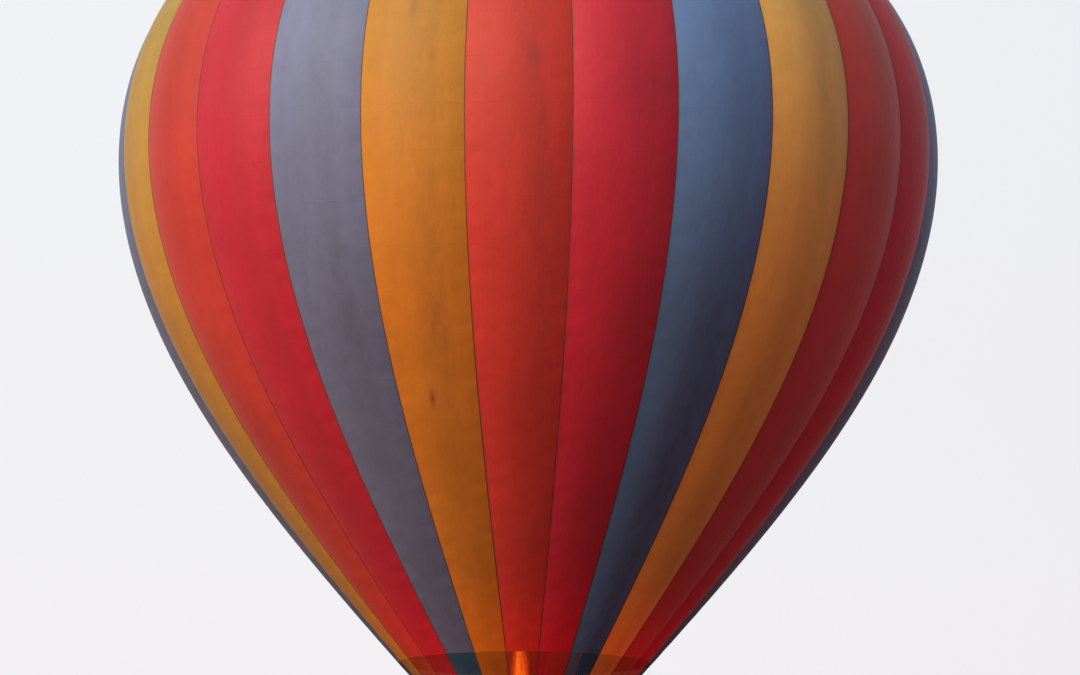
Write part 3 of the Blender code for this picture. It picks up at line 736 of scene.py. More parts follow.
def pathTree():
    # One small part at even steps along a path, its X along the path.
    tree, given = newTree("partsOnPath", [("Part", "Object"), ("Step", "Float"), ("Finish", "Material")])
    part = node(tree, "GeometryNodeObjectInfo", {"Object": given["Part"]}).outputs["Geometry"]
    line = node(tree, "GeometryNodeMeshToCurve", {0: given["Geometry"]}).outputs[0]
    inputs = {"Curve": line, "Length": given["Step"]}
    line = node(tree, "GeometryNodeResampleCurve", inputs, mode="LENGTH").outputs[0]
    ahead = node(tree, "GeometryNodeInputTangent").outputs[0]
    turn = node(tree, "FunctionNodeAlignRotationToVector", {"Vector": ahead}, axis="X").outputs[0]
    inputs = {"Points": line, "Instance": part, "Rotation": turn}
    endTree(tree, node(tree, "GeometryNodeInstanceOnPoints", inputs).outputs[0], given["Finish"])
    return tree


def weaveTree():
    # Cane strands woven in and out of upright stakes, along a wall's middle line.
    sockets = [("Stakes", "Int"), ("Rows", "Int"), ("Pitch", "Float"), ("Sway", "Float")]
    sockets += [("Strand", "Float"), ("Stake", "Float"), ("Height", "Float"), ("Finish", "Material")]
    tree, given = newTree("wovenWall", sockets)
    line = node(tree, "GeometryNodeMeshToCurve", {0: given["Geometry"]}).outputs[0]
    line = node(tree, "GeometryNodeSetCurveNormal", {0: line}, mode="Z_UP").outputs[0]
    count = calc(tree, "MULTIPLY", given["Stakes"], 3.0)
    fine = node(tree, "GeometryNodeResampleCurve", {"Curve": line, "Count": count}, mode="COUNT").outputs[0]
    index = node(tree, "GeometryNodeInputIndex").outputs[0]
    ahead = node(tree, "GeometryNodeInputTangent").outputs[0]
    across = node(tree, "ShaderNodeVectorMath", {0: ahead, 1: (0, 0, 1)}, operation="CROSS_PRODUCT").outputs[0]
    profile = node(tree, "GeometryNodeCurvePrimitiveCircle", {"Resolution": 4, "Radius": given["Strand"]}).outputs[0]
    profile = node(tree, "GeometryNodeTransform", {0: profile, "Scale": (0.42, 1.0, 1.0)}).outputs[0]
    half = calc(tree, "MULTIPLY", given["Rows"], 0.5)
    double = calc(tree, "MULTIPLY", given["Pitch"], 2.0)
    rise = node(tree, "ShaderNodeCombineXYZ", {2: double}).outputs[0]
    layers = []
    for number in (0, 1):
        wave = calc(tree, "MULTIPLY", index, math.pi / 3)
        wave = calc(tree, "SINE", calc(tree, "ADD", wave, math.pi * number))
        wave = calc(tree, "MULTIPLY", wave, given["Sway"])
        shift = node(tree, "ShaderNodeVectorMath", {0: across, 3: wave}, operation="SCALE").outputs[0]
        moved = node(tree, "GeometryNodeSetPosition", {"Geometry": fine, "Offset": shift}).outputs[0]
        tube = node(tree, "GeometryNodeCurveToMesh", {0: moved, "Profile Curve": profile, "Fill Caps": True}).outputs[0]
        start = calc(tree, "MULTIPLY", given["Pitch"], number + 0.5)
        first = node(tree, "ShaderNodeCombineXYZ", {2: start}).outputs[0]
        inputs = {"Count": half, "Start Location": first, "Offset": rise}
        rows = node(tree, "GeometryNodeMeshLine", inputs, mode="OFFSET").outputs[0]
        inputs = {"Points": rows, "Instance": tube}
        layers.append(node(tree, "GeometryNodeInstanceOnPoints", inputs).outputs[0])
    double = calc(tree, "MULTIPLY", given["Stakes"], 2.0)
    spots = node(tree, "GeometryNodeResampleCurve", {"Curve": line, "Count": double}, mode="COUNT").outputs[0]
    odd = calc(tree, "MODULO", index, 2.0)
    size = {"Vertices": 6, "Radius": given["Stake"], "Depth": given["Height"]}
    stake = node(tree, "GeometryNodeMeshCylinder", size).outputs[0]
    lift = node(tree, "ShaderNodeCombineXYZ", {2: calc(tree, "MULTIPLY", given["Height"], 0.5)}).outputs[0]
    stake = node(tree, "GeometryNodeTransform", {0: stake, "Translation": lift}).outputs[0]
    inputs = {"Points": spots, "Selection": odd, "Instance": stake}
    layers.append(node(tree, "GeometryNodeInstanceOnPoints", inputs).outputs[0])
    joined = tree.nodes.new("GeometryNodeJoinGeometry")
    for layer in reversed(layers):
        tree.links.new(layer, joined.inputs[0])
    endTree(tree, joined.outputs[0], given["Finish"])
    return tree


def coilTree():
    # A round coil of tube on every point.
    sockets = [("Turns", "Float"), ("Radius", "Float"), ("Height", "Float"), ("Tube", "Float"), ("Finish", "Material")]
    tree, given = newTree("heatingCoil", sockets)
    inputs = {"Resolution": 20, "Rotations": given["Turns"], "Height": given["Height"]}
    inputs.update({"Start Radius": given["Radius"], "End Radius": given["Radius"]})
    line = node(tree, "GeometryNodeCurveSpiral", inputs).outputs[0]
    profile = node(tree, "GeometryNodeCurvePrimitiveCircle", {"Resolution": 8, "Radius": given["Tube"]}).outputs[0]
    tube = node(tree, "GeometryNodeCurveToMesh", {0: line, "Profile Curve": profile, "Fill Caps": True}).outputs[0]
    inputs = {"Points": given["Geometry"], "Instance": tube}
    endTree(tree, node(tree, "GeometryNodeInstanceOnPoints", inputs).outputs[0], given["Finish"])
    return tree


ringCopies, partsOnPoints, partsOnPath = ringTree(), scatterTree(), pathTree()
wovenWall, heatingCoil = weaveTree(), coilTree()


def smallPart(name, shape):
    mesh = bpy.data.meshes.new(name)
    mesh.from_pydata([tuple(p) for p in shape[0]], [], shape[1])
    return addObject(name, mesh)


def scatter(name, part, spots, facings, alongs, finish, body, smooth=50):
    helper = smallPart(name + "Part", part)
    inputs = {"Part": helper, "Finish": finish}
    made = growPiece(name, spots, [], partsOnPoints, inputs, body, smooth, facings, alongs)
    bpy.data.objects.remove(helper)
    return made


def lineUp(name, part, path, step, finish, body, closed=True, smooth=50):
    helper = smallPart(name + "Part", part)
    edges = [(k, k + 1) for k in range(len(path) - 1)]
    if closed:
        edges.append((len(path) - 1, 0))
    inputs = {"Part": helper, "Step": step, "Finish": finish}
    made = growPiece(name, path, edges, partsOnPath, inputs, body, smooth)
    bpy.data.objects.remove(helper)
    return made


# The envelope's surface

envelope = {
    "radius": 13.0,  # to the crest of a gore at the widest circle
    "gores": 24,
    "lobe": 0.02,  # how far a seam lies inside the crest, as a share of the radius
    "cloth": 0.010,
    "gap": 0.0003,
    "bend": (1.2576, 1.2602, 0.3062),  # how the meridian's curvature grows with height
    "ventRadius": 3.2,
    "ventOverlap": 0.35,
    "ventHang": 0.032,
    "mouthRadius": 2.8,
    "hemWidth": 0.12,
    "bandLevel": -16.03,  # where the heat-proof cloth starts
    "columns": 20,
    "rowLength": 0.16,
    "puckerDepth": 0.005,
    "puckerReach": 0.16,
    "puckerLengths": (0.92, 0.61),
    "order": ("orange", "crimson", "slate", "gold"),
}


def bentArc(upward):
    # From the widest circle to the crown, or down past the mouth, in steps along the cloth.
    step = 1 / 400
    r, z, lean = 1.0, 0.0, 0.0
    rows = [(0.0, r, z, lean)]
    side = 1 if upward else -1
    plain, rising, square = envelope["bend"]
    while r > 0.01 and z > -1.6:
        halfLean = lean - side * (plain + rising * z + square * z * z) * r * step / 2
        halfR = r + side * math.sin(lean) * step / 2
        halfZ = z + side * math.cos(lean) * step / 2
        bend = (plain + rising * halfZ + square * halfZ * halfZ) * halfR
        r += side * math.sin(halfLean) * step
        z += side * math.cos(halfLean) * step
        lean -= side * bend * step
        rows.append((rows[-1][0] + side * step, r, z, lean))
    return rows


meridian = np.array(bentArc(False)[:0:-1] + bentArc(True)).T
meridian[:3] *= envelope["radius"]
widest = int(np.argmax(meridian[1]))


def arcAbove(radius):
    return float(np.interp(-radius, -meridian[1, widest:], meridian[0, widest:]))


def arcBelow(radius):
    return float(np.interp(radius, meridian[1, : widest + 1], meridian[0, : widest + 1]))


def arcAtLevel(level):
    return float(np.interp(level, meridian[2], meridian[0]))


def skinPoints(arc, azimuth, share, depth):
    # Points of the cloth, from arrays: place along the meridian, azimuth, share of the way from
    # a crest to a seam, and depth inwards.
    radius = np.interp(arc, meridian[0], meridian[1]) * (1 - envelope["lobe"] * share * share)
    lean = np.interp(arc, meridian[0], meridian[3])
    radius = radius - depth * np.cos(lean)
    height = np.interp(arc, meridian[0], meridian[2]) + depth * np.sin(lean)
    return np.stack([np.sin(azimuth) * radius, -np.cos(azimuth) * radius, height], -1)


ventArc = arcAbove(envelope["ventRadius"])
mouthArc = arcBelow(envelope["mouthRadius"])
bandArc = arcAtLevel(envelope["bandLevel"])
halfGore = math.pi / envelope["gores"]

# Per-gore tints: painted light and shade that lighten, darken and shift the hue of single gores where light falls on
# them differently
goreLightTints = {
    3: (0.80, 1.15, 1.28),
    4: (1.26, 1.42, 2.10),
    5: (0.92, 1.20, 1.75),
    20: (0.80, 1.06, 1.30),
    21: (0.96, 1.12, 1.15),
    23: (1.30, 1.14, 1.08),
    24: (0.94, 0.86, 0.55),
}

# Marks on the cloth: gore, share across, level, half width as a share, half height, strength. The small ones are
# stains; the broad, faint ones on the right half of the front gores below the widest circle, and the large one low on
# gore 3, are painted shade
marks = (
    (1, 0.256, 1.46, 0.055, 0.26, 0.80),
    (1, 0.27, 1.15, 0.13, 0.75, 0.28),
    (1, 0.44, -0.60, 0.12, 0.80, 0.16),
    (1, 0.57, -2.50, 0.10, 0.55, 0.16),
    (1, 0.40, -2.70, 0.28, 2.00, 0.16),
    (1, 0.52, -5.90, 0.26, 2.60, 0.24),
    (2, 0.52, 0.82, 0.030, 0.34, 0.50),
    (2, 0.55, -6.00, 0.30, 2.60, 0.22),
    (24, -0.095, -8.77, 0.060, 0.20, 0.85),
    (24, 0.006, 3.02, 0.040, 0.34, 0.40),
    (24, 0.416, 1.62, 0.025, 0.60, 0.30),
    (24, 0.25, -6.50, 0.28, 2.40, 0.20),
    (23, 0.30, -5.40, 0.26, 2.00, 0.22),
    (3, 0.35, -10.5, 0.90, 6.00, 0.56),
    (4, 0.15, 1.00, 0.14, 1.00, 0.16),
    (22, 0.35, -7.00, 0.30, 3.00, 0.16),
    (9, 0.20, 2.40, 0.060, 0.30, 0.70),
    (14, -0.30, -1.50, 0.055, 0.24, 0.70),
    (17, 0.10, 4.60, 0.050, 0.26, 0.60),
)

# Painted glow where the flame shows through the cloth in front of it: gore, share across, level, half width, half
# height
flameGlowSpot = (1, -0.22, -16.2, 0.42, 0.55)


def sootAndShadeOf(gore, share, level):
    # Darker along each gore a little right of its middle, which is painted shade of the lobes, and towards the mouth,
    # which is partly soot and partly painted shade; with the marks of single gores.
    sootAndShade = np.clip((-11.0 - level) / 9.0, 0, 1) * 0.20 + 0.03
    sootAndShade = sootAndShade + 0.13 * np.exp(-(((share - 0.18) / 0.46) ** 2))
    for number, across, height, wide, high, strength in marks:
        if number == gore:
            sootAndShade = sootAndShade + strength * np.exp(-(((share - across) / wide) ** 2) - ((level - height) / high) ** 2)
    return np.clip(sootAndShade, 0, 1)


def lineWith(mesh, finish, start, count):
    # Gives a run of faces a second material.
    mesh.materials.append(finish)
    index = np.zeros(len(mesh.polygons), np.int32)
    index[start : start + count] = 1
    mesh.polygons.foreach_set("material_index", index)


def clothPiece(name, gore, lowArc, highArc, finish, inside, slotName):
    # One closed sheet of a gore between two places on the meridian, with a map in metres.
    s = envelope
    rows = max(6, int(round((highArc - lowArc) / s["rowLength"])))
    columns = s["columns"]
    arcs, shares = np.meshgrid(np.linspace(lowArc, highArc, rows + 1), np.linspace(-1, 1, columns + 1), indexing="ij")
    halfWidth = np.interp(arcs, meridian[0], meridian[1]) * halfGore
    fromTape = (1 - abs(shares)) * halfWidth / s["puckerReach"]
    first, second = s["puckerLengths"]
    waves = np.sin(2 * math.pi * arcs / first + 1.7 * gore + 2 * shares)
    waves = waves + 0.7 * np.sin(2 * math.pi * arcs / second + 2.9 * gore - 3 * shares)
    pucker = s["puckerDepth"] * fromTape * np.exp(1 - fromTape) * waves
    azimuth = (2 * (gore - 1) + shares * (1 - s["gap"] / 2 / halfWidth)) * halfGore
    outer = skinPoints(arcs, azimuth, shares, pucker).reshape(-1, 3)
    inner = skinPoints(arcs, azimuth, shares, pucker + s["cloth"]).reshape(-1, 3)
    across, count = columns + 1, (rows + 1) * (columns + 1)
    faces, backs = [], []
    for i in range(rows):
        for j in range(columns):
            a = i * across + j
            faces.append((a, a + 1, a + across + 1, a + across))
            backs.append((a + count, a + across + count, a + across + 1 + count, a + 1 + count))
    rim = [j for j in range(columns)] + [i * across + columns for i in range(rows)]
    rim += [rows * across + j for j in range(columns, 0, -1)] + [i * across for i in range(rows, 0, -1)]
    walls = [(rim[k], rim[k] + count, rim[(k + 1) % len(rim)] + count, rim[(k + 1) % len(rim)]) for k in range(len(rim))]
    made = keep(name, np.concatenate([outer, inner]).tolist(), faces + backs + walls, finish, "balloon", slotName)
    mesh = made.data
    if inside is not finish:
        lineWith(mesh, inside, len(faces), len(backs))
    uv = np.stack([shares * halfWidth, arcs], -1).reshape(-1, 2)
    uv = np.concatenate([uv, uv])
    corners = np.zeros(len(mesh.loops), np.int32)
    mesh.loops.foreach_get("vertex_index", corners)
    mesh.uv_layers.new(name="clothMap").data.foreach_set("uv", uv[corners].astype(np.float32).ravel())
    level = np.interp(arcs, meridian[0], meridian[2])
    sootAndShade = np.tile(sootAndShadeOf(gore, shares, level).ravel(), 2).astype(np.float32)
    mesh.attributes.new("sootAndShade", "FLOAT", "POINT").data.foreach_set("value", sootAndShade)
    # The painted glow where the flame shows through this gore, as a per-point mask.
    if gore == flameGlowSpot[0]:
        heat = np.exp(-(((shares - flameGlowSpot[1]) / flameGlowSpot[3]) ** 2) - ((level - flameGlowSpot[2]) / flameGlowSpot[4]) ** 2)
        heat = np.tile(heat.ravel(), 2).astype(np.float32)
        mesh.attributes.new("heat", "FLOAT", "POINT").data.foreach_set("value", heat)
    number = np.full(2 * count, float(gore), np.float32)
    mesh.attributes.new("goreNumber", "FLOAT", "POINT").data.foreach_set("value", number)
    tint = np.tile(goreLightTints.get(gore, (1.0, 1.0, 1.0)), 2 * count).astype(np.float32)
    mesh.attributes.new("goreLightTint", "FLOAT_VECTOR", "POINT").data.foreach_set("vector", tint)
    return made


def makeEnvelope():
    s = envelope
    upper, inner, lower = {}, {}, {}
    for colour in s["order"]:
        above, below = glow["strength"], throatLook["glow"]
        if colour == "slate":
            above, below = glow["onSlate"], throatLook["glowOnSlate"]
        upper[colour] = clothFinish(colour + "Nylon", clothColours[colour], above)
        inner[colour] = insideFinish(colour + "Inside", clothColours[colour])
        lower[colour] = throatFinish(colour + "HeatCloth", throatLook[colour], below)
    hemTop = mouthArc + s["hemWidth"] + s["gap"]
    for gore in range(1, s["gores"] + 1):
        colour = s["order"][(gore - 1) % 4]
        slotName = colour + "_cloth"
        parts = (
            ("upperGore", 0.0, ventArc, upper[colour], inner[colour]),
            ("lowerGore", bandArc, 0.0, upper[colour], inner[colour]),
            ("throatPanel", hemTop, bandArc, lower[colour], lower[colour]),
        )
        for label, low, high, finish, inside in parts:
            made = clothPiece(f"{label}_{gore:02d}", gore, low, high, finish, inside, slotName)
            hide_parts(f"gore_{gore:02d}")


makeEnvelope()
print("gores made")


# Load tapes down the seams, the throat's sewn ring and the parachute vent

loadTape = {"half": 0.016, "proud": 0.003, "thick": 0.002, "row": 0.30, "columns": 4, "colour": (0.075, 0.014, 0.012)}
ventPanel = {"rows": 30, "perGore": 8, "puff": 0.035, "colour": "crimson"}


def sheetFaces(rows, columns):
    # Faces of a thin closed strip whose outer points come first and inner points second.
    across = columns + 1
    count = (rows + 1) * across
    faces = []
    for i in range(rows):
        for j in range(columns):
            a = i * across + j
            faces.append((a, a + 1, a + across + 1, a + across))
            faces.append((a + count, a + across + count, a + across + 1 + count, a + 1 + count))
    rim = [j for j in range(columns)] + [i * across + columns for i in range(rows)]
    rim += [rows * across + j for j in range(columns, 0, -1)] + [i * across for i in range(rows, 0, -1)]
    for k, at in enumerate(rim):
        nextAt = rim[(k + 1) % len(rim)]
        faces.append((at, at + count, nextAt + count, nextAt))
    return faces


def tapeStrip(lowArc, highArc, azimuth, halfWide, proud, thick, row, columns):
    rows = int(round((highArc - lowArc) / row))
    arcs, asides = np.meshgrid(np.linspace(lowArc, highArc, rows + 1), np.linspace(-1, 1, columns + 1), indexing="ij")
    radius = np.interp(arcs, meridian[0], meridian[1])
    aside = asides * halfWide
    share = 1 - abs(aside) / (radius * halfGore)
    turn = azimuth + aside / radius
    outer = skinPoints(arcs, turn, share, -proud - thick).reshape(-1, 3)
    inner = skinPoints(arcs, turn, share, -proud + 0 * arcs).reshape(-1, 3)
    return np.concatenate([outer, inner]).tolist(), sheetFaces(rows, columns)


def makeTapes():
    s = loadTape
    finish = webbingFinish("sewnTape", s["colour"])
    crown = webbingFinish("crownTape", s["colour"], 0.36)
    low, high = mouthArc + envelope["hemWidth"] / 2, ventArc + envelope["hemWidth"] / 2
    points, faces = tapeStrip(low, high, halfGore, s["half"], s["proud"], s["thick"], s["row"], s["columns"])
    inputs = {"Count": envelope["gores"], "Finish": finish}
    growPiece("loadTapes", points, [], ringCopies, inputs, "balloon", faces=faces)
    dress(["crown_ring_and_vent_tapes"], crown)
    dress(["mouth_hem"], finish)


def makeVent():
    # The parachute vent puffs up between the tapes that hold it down.
    s = ventPanel
    margin = ventArc - envelope["ventOverlap"]
    under = envelope["cloth"] + envelope["gap"]
    columns = envelope["gores"] * s["perGore"]
    arcs = np.linspace(margin, meridian[0, -1], s["rows"] + 1)[:-1]
    share = np.array([-1 + 2 * k / s["perGore"] for k in range(s["perGore"])] * envelope["gores"])
    azimuth = np.array([(2 * (k // s["perGore"]) + share[k]) * halfGore for k in range(columns)])
    grid, shares = np.meshgrid(arcs, share, indexing="ij")
    azimuths = np.broadcast_to(azimuth, grid.shape)
    inside = np.clip((grid - ventArc) / 0.5, 0, 1)
    hang = under + (envelope["ventHang"] - under) * np.clip((grid - ventArc) / 0.06, 0, 1)
    radius = np.interp(grid, meridian[0], meridian[1])
    puff = s["puff"] * inside * (1 - shares * shares) * np.clip(radius / 1.2, 0, 1)
    layers = []
    for thick in (0.0, envelope["cloth"]):
        rows = skinPoints(grid, azimuths, shares, hang + thick - puff)
        top = np.array([[0.0, 0.0, rows[-1, :, 2].mean()]])
        layers.append(np.concatenate([rows.reshape(-1, 3), top]))
    count = len(layers[0])
    faces, backs, walls = [], [], []
    for i in range(len(arcs) - 1):
        for j in range(columns):
            n = (j + 1) % columns
            a, b, c, d = i * columns + j, i * columns + n, (i + 1) * columns + n, (i + 1) * columns + j
            faces.append((a, b, c, d))
            backs.append((a + count, d + count, c + count, b + count))
    last = (len(arcs) - 1) * columns
    for j in range(columns):
        n = (j + 1) % columns
        faces.append((last + j, last + n, count - 1))
        backs.append((last + j + count, 2 * count - 1, last + n + count))
        walls.append((n, j, j + count, n + count))
    finish = clothFinish("ventNylon", clothColours[s["colour"]], 0.0)
    points = np.concatenate(layers).tolist()
    made = keep("ventPanel", points, faces + backs + walls, finish, "vent_panel", "crimson_cloth")
    mesh = made.data
    lineWith(mesh, insideFinish("ventInside", clothColours[s["colour"]]), len(faces), len(backs))
    uv = np.stack([shares * radius * halfGore, grid], -1).reshape(-1, 2)
    uv = np.concatenate([uv, [[0.0, meridian[0, -1]]]])
    uv = np.concatenate([uv, uv])
    corners = np.zeros(len(mesh.loops), np.int32)
    mesh.loops.foreach_get("vertex_index", corners)
    mesh.uv_layers.new(name="clothMap").data.foreach_set("uv", uv[corners].astype(np.float32).ravel())
    for label, value in (("sootAndShade", 0.12), ("goreNumber", 2.0)):
        held = mesh.attributes.new(label, "FLOAT", "POINT")
        held.data.foreach_set("value", np.full(2 * count, value, np.float32))
    held = mesh.attributes.new("goreLightTint", "FLOAT_VECTOR", "POINT")
    held.data.foreach_set("vector", np.ones(6 * count, np.float32))
    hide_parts("parachute_vent")


makeTapes()
makeVent()
print("tapes and vent made")


# Burners, load frame and wires

burner = {
    "coilTurns": 7.0,
    "coilRadius": 0.092,
    "coilTube": 0.0085,
    "coilHeight": 0.30,
    "coilFrom": 0.06,
    "jets": 12,
    "jetRing": 0.055,
    "rivets": 20,
    "handle": 0.17,
}

flame = {
    "burner": "front_left",
    "height": 5.6,
    "radius": 0.37,
    "neck": 0.118,
    "spread": 0.24,
    "layers": (  # name, width as a share of the whole, colour, strength, clearness
        ("flameHeart", 0.42, (1.0, 0.30, 0.02), 7.4, 0.35),
        ("flameCore", 0.64, (1.0, 0.22, 0.01), 5.6, 0.55),
        ("flameEdge", 0.84, (1.0, 0.14, 0.01), 4.0, 0.75),
        ("flameHaze", 1.00, (1.0, 0.10, 0.01), 2.6, 0.88),
    ),
    "rows": 34,
    "sides": 20,
    "tip": 0.0,
}


def canMiddle(name):
    low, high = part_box(f"burner_can_{name}")
    return Vector(((low.x + high.x) / 2, (low.y + high.y) / 2, low.z)), high.z


def flameShape(centre, base, share):
    # A tongue that leaves the burner narrow, widens and breaks up towards its tip.
    s = flame
    points, faces = [], []
    height = s["height"] * (0.72 + 0.28 * share)
    for i in range(s["rows"] + 1):
        t = i / s["rows"]
        width = (0.28 + 0.72 * math.sin(math.pi * min(1.0, 0.16 + 0.84 * t) ** 0.92)) * s["radius"] * share
        width = min(width, (s["neck"] + s["spread"] * height * t) * share)
        width *= min(1.0, (1 - t) * 5.0) ** 0.6
        sway = 0.10 * t * t
        middle = centre + Vector((sway * math.sin(3.1 * t + 1), sway * math.cos(2.3 * t), base + height * t))
        for k in range(s["sides"]):
            turn = 2 * math.pi * k / s["sides"]
            ripple = 1 + 0.16 * t * math.sin(3 * turn + 9 * t) + 0.09 * t * math.sin(5 * turn - 17 * t)
            points.append(middle + Vector((math.cos(turn), math.sin(turn), 0)) * max(0.004, width * ripple))
    for i in range(s["rows"]):
        for k in range(s["sides"]):
            n = (k + 1) % s["sides"]
            a, b = i * s["sides"], (i + 1) * s["sides"]
            faces.append((a + k, a + n, b + n, b + k))
    faces.append(tuple(reversed(range(s["sides"]))))
    faces.append(tuple(range(s["rows"] * s["sides"], (s["rows"] + 1) * s["sides"])))
    return points, faces


def makeFlame():
    centre, top = canMiddle(flame["burner"])
    base = top - centre.z - 0.05
    flame["tip"] = centre.z + base + flame["height"]
    for name, share, colour, strength, clearness in flame["layers"]:
        finish = flameFinish(name, colour, strength, clearness)
        shape = flameShape(centre, base, share)
        keep(name, *shape, finish, "burners", "burner_steel", 60)


tubework = {
    "frameHalf": (1.60, 0.70),
    "frameCorner": 0.12,
    "frameTube": 0.025,
    "crossTubeAt": 0.66,
    "crossTube": 0.022,
    "socketRadius": 0.045,
    "socketInset": 0.02,
    "socketReach": (-0.16, 0.07),
    "tetherPlate": (0.03, 0.11, 0.05),  # thickness, half width, half height
    "gimbalHalf": (0.56, 0.46),
    "gimbalCorner": 0.08,
    "gimbalTube": 0.016,
    "pinRadius": 0.012,
    "pinEnd": 0.6297,
    "bushHalf": 0.03,
    "lugHalf": 0.02,
    "lugReach": (0.43, 0.466),
    "seat": 0.01,
    "canWall": 0.006,
}


def makeTubework(steel):
    # The load frame and the gimbal frame, rounder than the plain model has them.
    s = tubework
    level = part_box("load_frame")[0].z - s["socketReach"][0]
    outline = roundedOutline(s["frameHalf"], s["frameCorner"])
    parts = [tubeShape([(x, y, level) for x, y in outline], s["frameTube"], 16, True)]
    bottom, top = s["socketReach"]
    r = s["socketRadius"]
    socket = [(0, bottom), (r - 0.004, bottom), (r, bottom + 0.004), (r, top - 0.004), (r - 0.004, top), (0, top)]
    for sx, sy in cornerSigns.values():
        x, y = (sign * (half - s["socketInset"]) for sign, half in zip((sx, sy), s["frameHalf"]))
        parts.append(turnedShape(socket, (x, y, level), 28))
    thick, wide, high = s["tetherPlate"]
    reach, bush = s["frameHalf"][1], s["bushHalf"]
    for side in (-1, 1):
        x = side * s["crossTubeAt"]
        parts.append(tubeShape([(x, -reach, level), (x, 0, level), (x, reach, level)], s["crossTube"], 16))
        near, far = sorted((x - side * bush, x + side * s["seat"]))
        parts.append(boxShape((near, -bush, level - bush), (far, bush, level + bush)))
        face = side * (s["frameHalf"][0] + s["seat"])
        near, far = sorted((face, face + side * thick))
        parts.append(boxShape((near, -wide, level - high), (far, wide, level + high)))
    made = keep("loadFrame", *merged(parts), steel, "balloon", "stainless_tube")
    fixNormals(made)
    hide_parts("load_frame")
    outline = roundedOutline(s["gimbalHalf"], s["gimbalCorner"])
    parts = [tubeShape([(x, y, level) for x, y in outline], s["gimbalTube"], 14, True)]
    lug = s["lugHalf"]
    for side in (-1, 1):
        ends = sorted((side * s["gimbalHalf"][0], side * s["pinEnd"]))
        parts.append(tubeShape([(x, 0, level) for x in ends], s["pinRadius"], 16))
        near, far = sorted(side * end for end in s["lugReach"])
        parts.append(boxShape((-lug, near, level - lug), (lug, far, level + lug)))
    made = keep("gimbalFrame", *merged(parts), steel, "gimbal", "stainless_tube")
    fixNormals(made)
    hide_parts("gimbal_frame")


def canShape(middle, height):
    # An open can with a rolled rim, round the coil and the jets.
    wall = tubework["canWall"]
    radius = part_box("burner_can_front_left")[1].x - canMiddle("front_left")[0].x
    profile = [(0, 0), (radius - 0.002, 0), (radius, 0.002), (radius, height - 0.003)]
    profile += [(radius - 0.0015, height), (radius - wall + 0.0015, height), (radius - wall, height - 0.003)]
    profile += [(radius - wall, 0.02), (0, 0.02)]
    return turnedShape(profile, middle, 48)


def makeBurners():
    s = burner
    steel = steelFinish("stainlessTube", (0.56, 0.56, 0.57), 0.28)
    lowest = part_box("burner_can_front_left")[0].z
    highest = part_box("burner_can_front_left")[1].z
    heated = steelFinish("heatedSteel", (0.60, 0.59, 0.58), 0.30, (lowest, highest))
    brass = steelFinish("brass", (0.62, 0.42, 0.16), 0.30)
    grip = leatherFinish("gripRubber", (0.03, 0.012, 0.010), 0.2)
    frame["steel"], frame["brass"], frame["grip"] = steel, brass, grip
    dress(["burner_block"], steel)
    makeTubework(steel)
    for name in cornerSigns:
        middle, top = canMiddle(name)
        made = keep("burnerCan_" + name, *canShape(middle, top - middle.z), heated, "burners", "burner_steel")
        fixNormals(made)
        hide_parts("burner_can_" + name)
    middles = [canMiddle(name)[0] for name in cornerSigns]
    low = [middle + Vector((0, 0, s["coilFrom"])) for middle in middles]
    inputs = {"Turns": s["coilTurns"], "Radius": s["coilRadius"], "Height": s["coilHeight"]}
    inputs.update({"Tube": s["coilTube"], "Finish": heated})
    growPiece("burnerCoils", low, [], heatingCoil, inputs, "burners")
    # Jets on a ring in every can, a pilot light between them, and rivets round the can's top.
    jet = turnedShape([(0, 0), (0.006, 0), (0.006, 0.02), (0.004, 0.028), (0, 0.028)], sides=8)
    spots, rivets, facings = [], [], []
    for middle in middles:
        for k in range(s["jets"]):
            turn = 2 * math.pi * k / s["jets"]
            spots.append(middle + outward(turn) * s["jetRing"] + Vector((0, 0, 0.022)))
        for k in range(s["rivets"]):
            out = outward(2 * math.pi * (k + 0.5) / s["rivets"])
            rivets.append(middle + out * 0.1345 + Vector((0, 0, 0.44)))
            facings.append(out)
    up = [(0, 0, 1)] * len(spots)
    ahead = [(1, 0, 0)] * len(spots)
    scatter("burnerJets", jet, spots, up, ahead, brass, "burners")
    rivet = turnedShape([(0, 0), (0.004, 0), (0.0035, 0.0018), (0.002, 0.0028), (0, 0.003)], sides=8)
    scatter("canRivets", rivet, rivets, facings, [(0, 0, 1)] * len(rivets), steel, "burners")
    pilots = []
    for middle in middles:
        pilots.append(turnedShape([(0, 0.02), (0.02, 0.02), (0.02, 0.05), (0.014, 0.052), (0, 0.052)], middle, 16))
        foot = middle + Vector((0, 0, -0.03))
        pilots.append(turnedShape([(0, -0.06), (0.028, -0.06), (0.032, -0.05), (0.032, 0.0), (0, 0.0)], foot, 20))
    keep("pilotLights", *merged(pilots), brass, "burners", "burner_steel")
    # A blast valve lever under every burner.
    levers, grips = [], []
    for name, (sx, sy) in cornerSigns.items():
        start = canMiddle(name)[0] + Vector((0, 0, -0.07))
        bend = start + Vector((sx * 0.05, 0, -0.02))
        end = bend + Vector((sx * s["handle"], 0, -0.035))
        levers.append(tubeShape([start, start.lerp(bend, 0.6), bend, bend.lerp(end, 0.5), end], 0.006, 8))
        tip = end + (end - bend).normalized() * 0.045
        grips.append(tubeShape([end.lerp(bend, 0.42), end, tip], 0.0125, 12))
    keep("blastLevers", *merged(levers), steel, "burners", "stainless_tube")
    keep("leverGrips", *merged(grips), grip, "burners", "scuff_leather")


rigging = {"swageLength": 0.07, "swageRadius": 0.011, "footReach": 0.30, "topReach": 0.16, "bolt": 0.014}


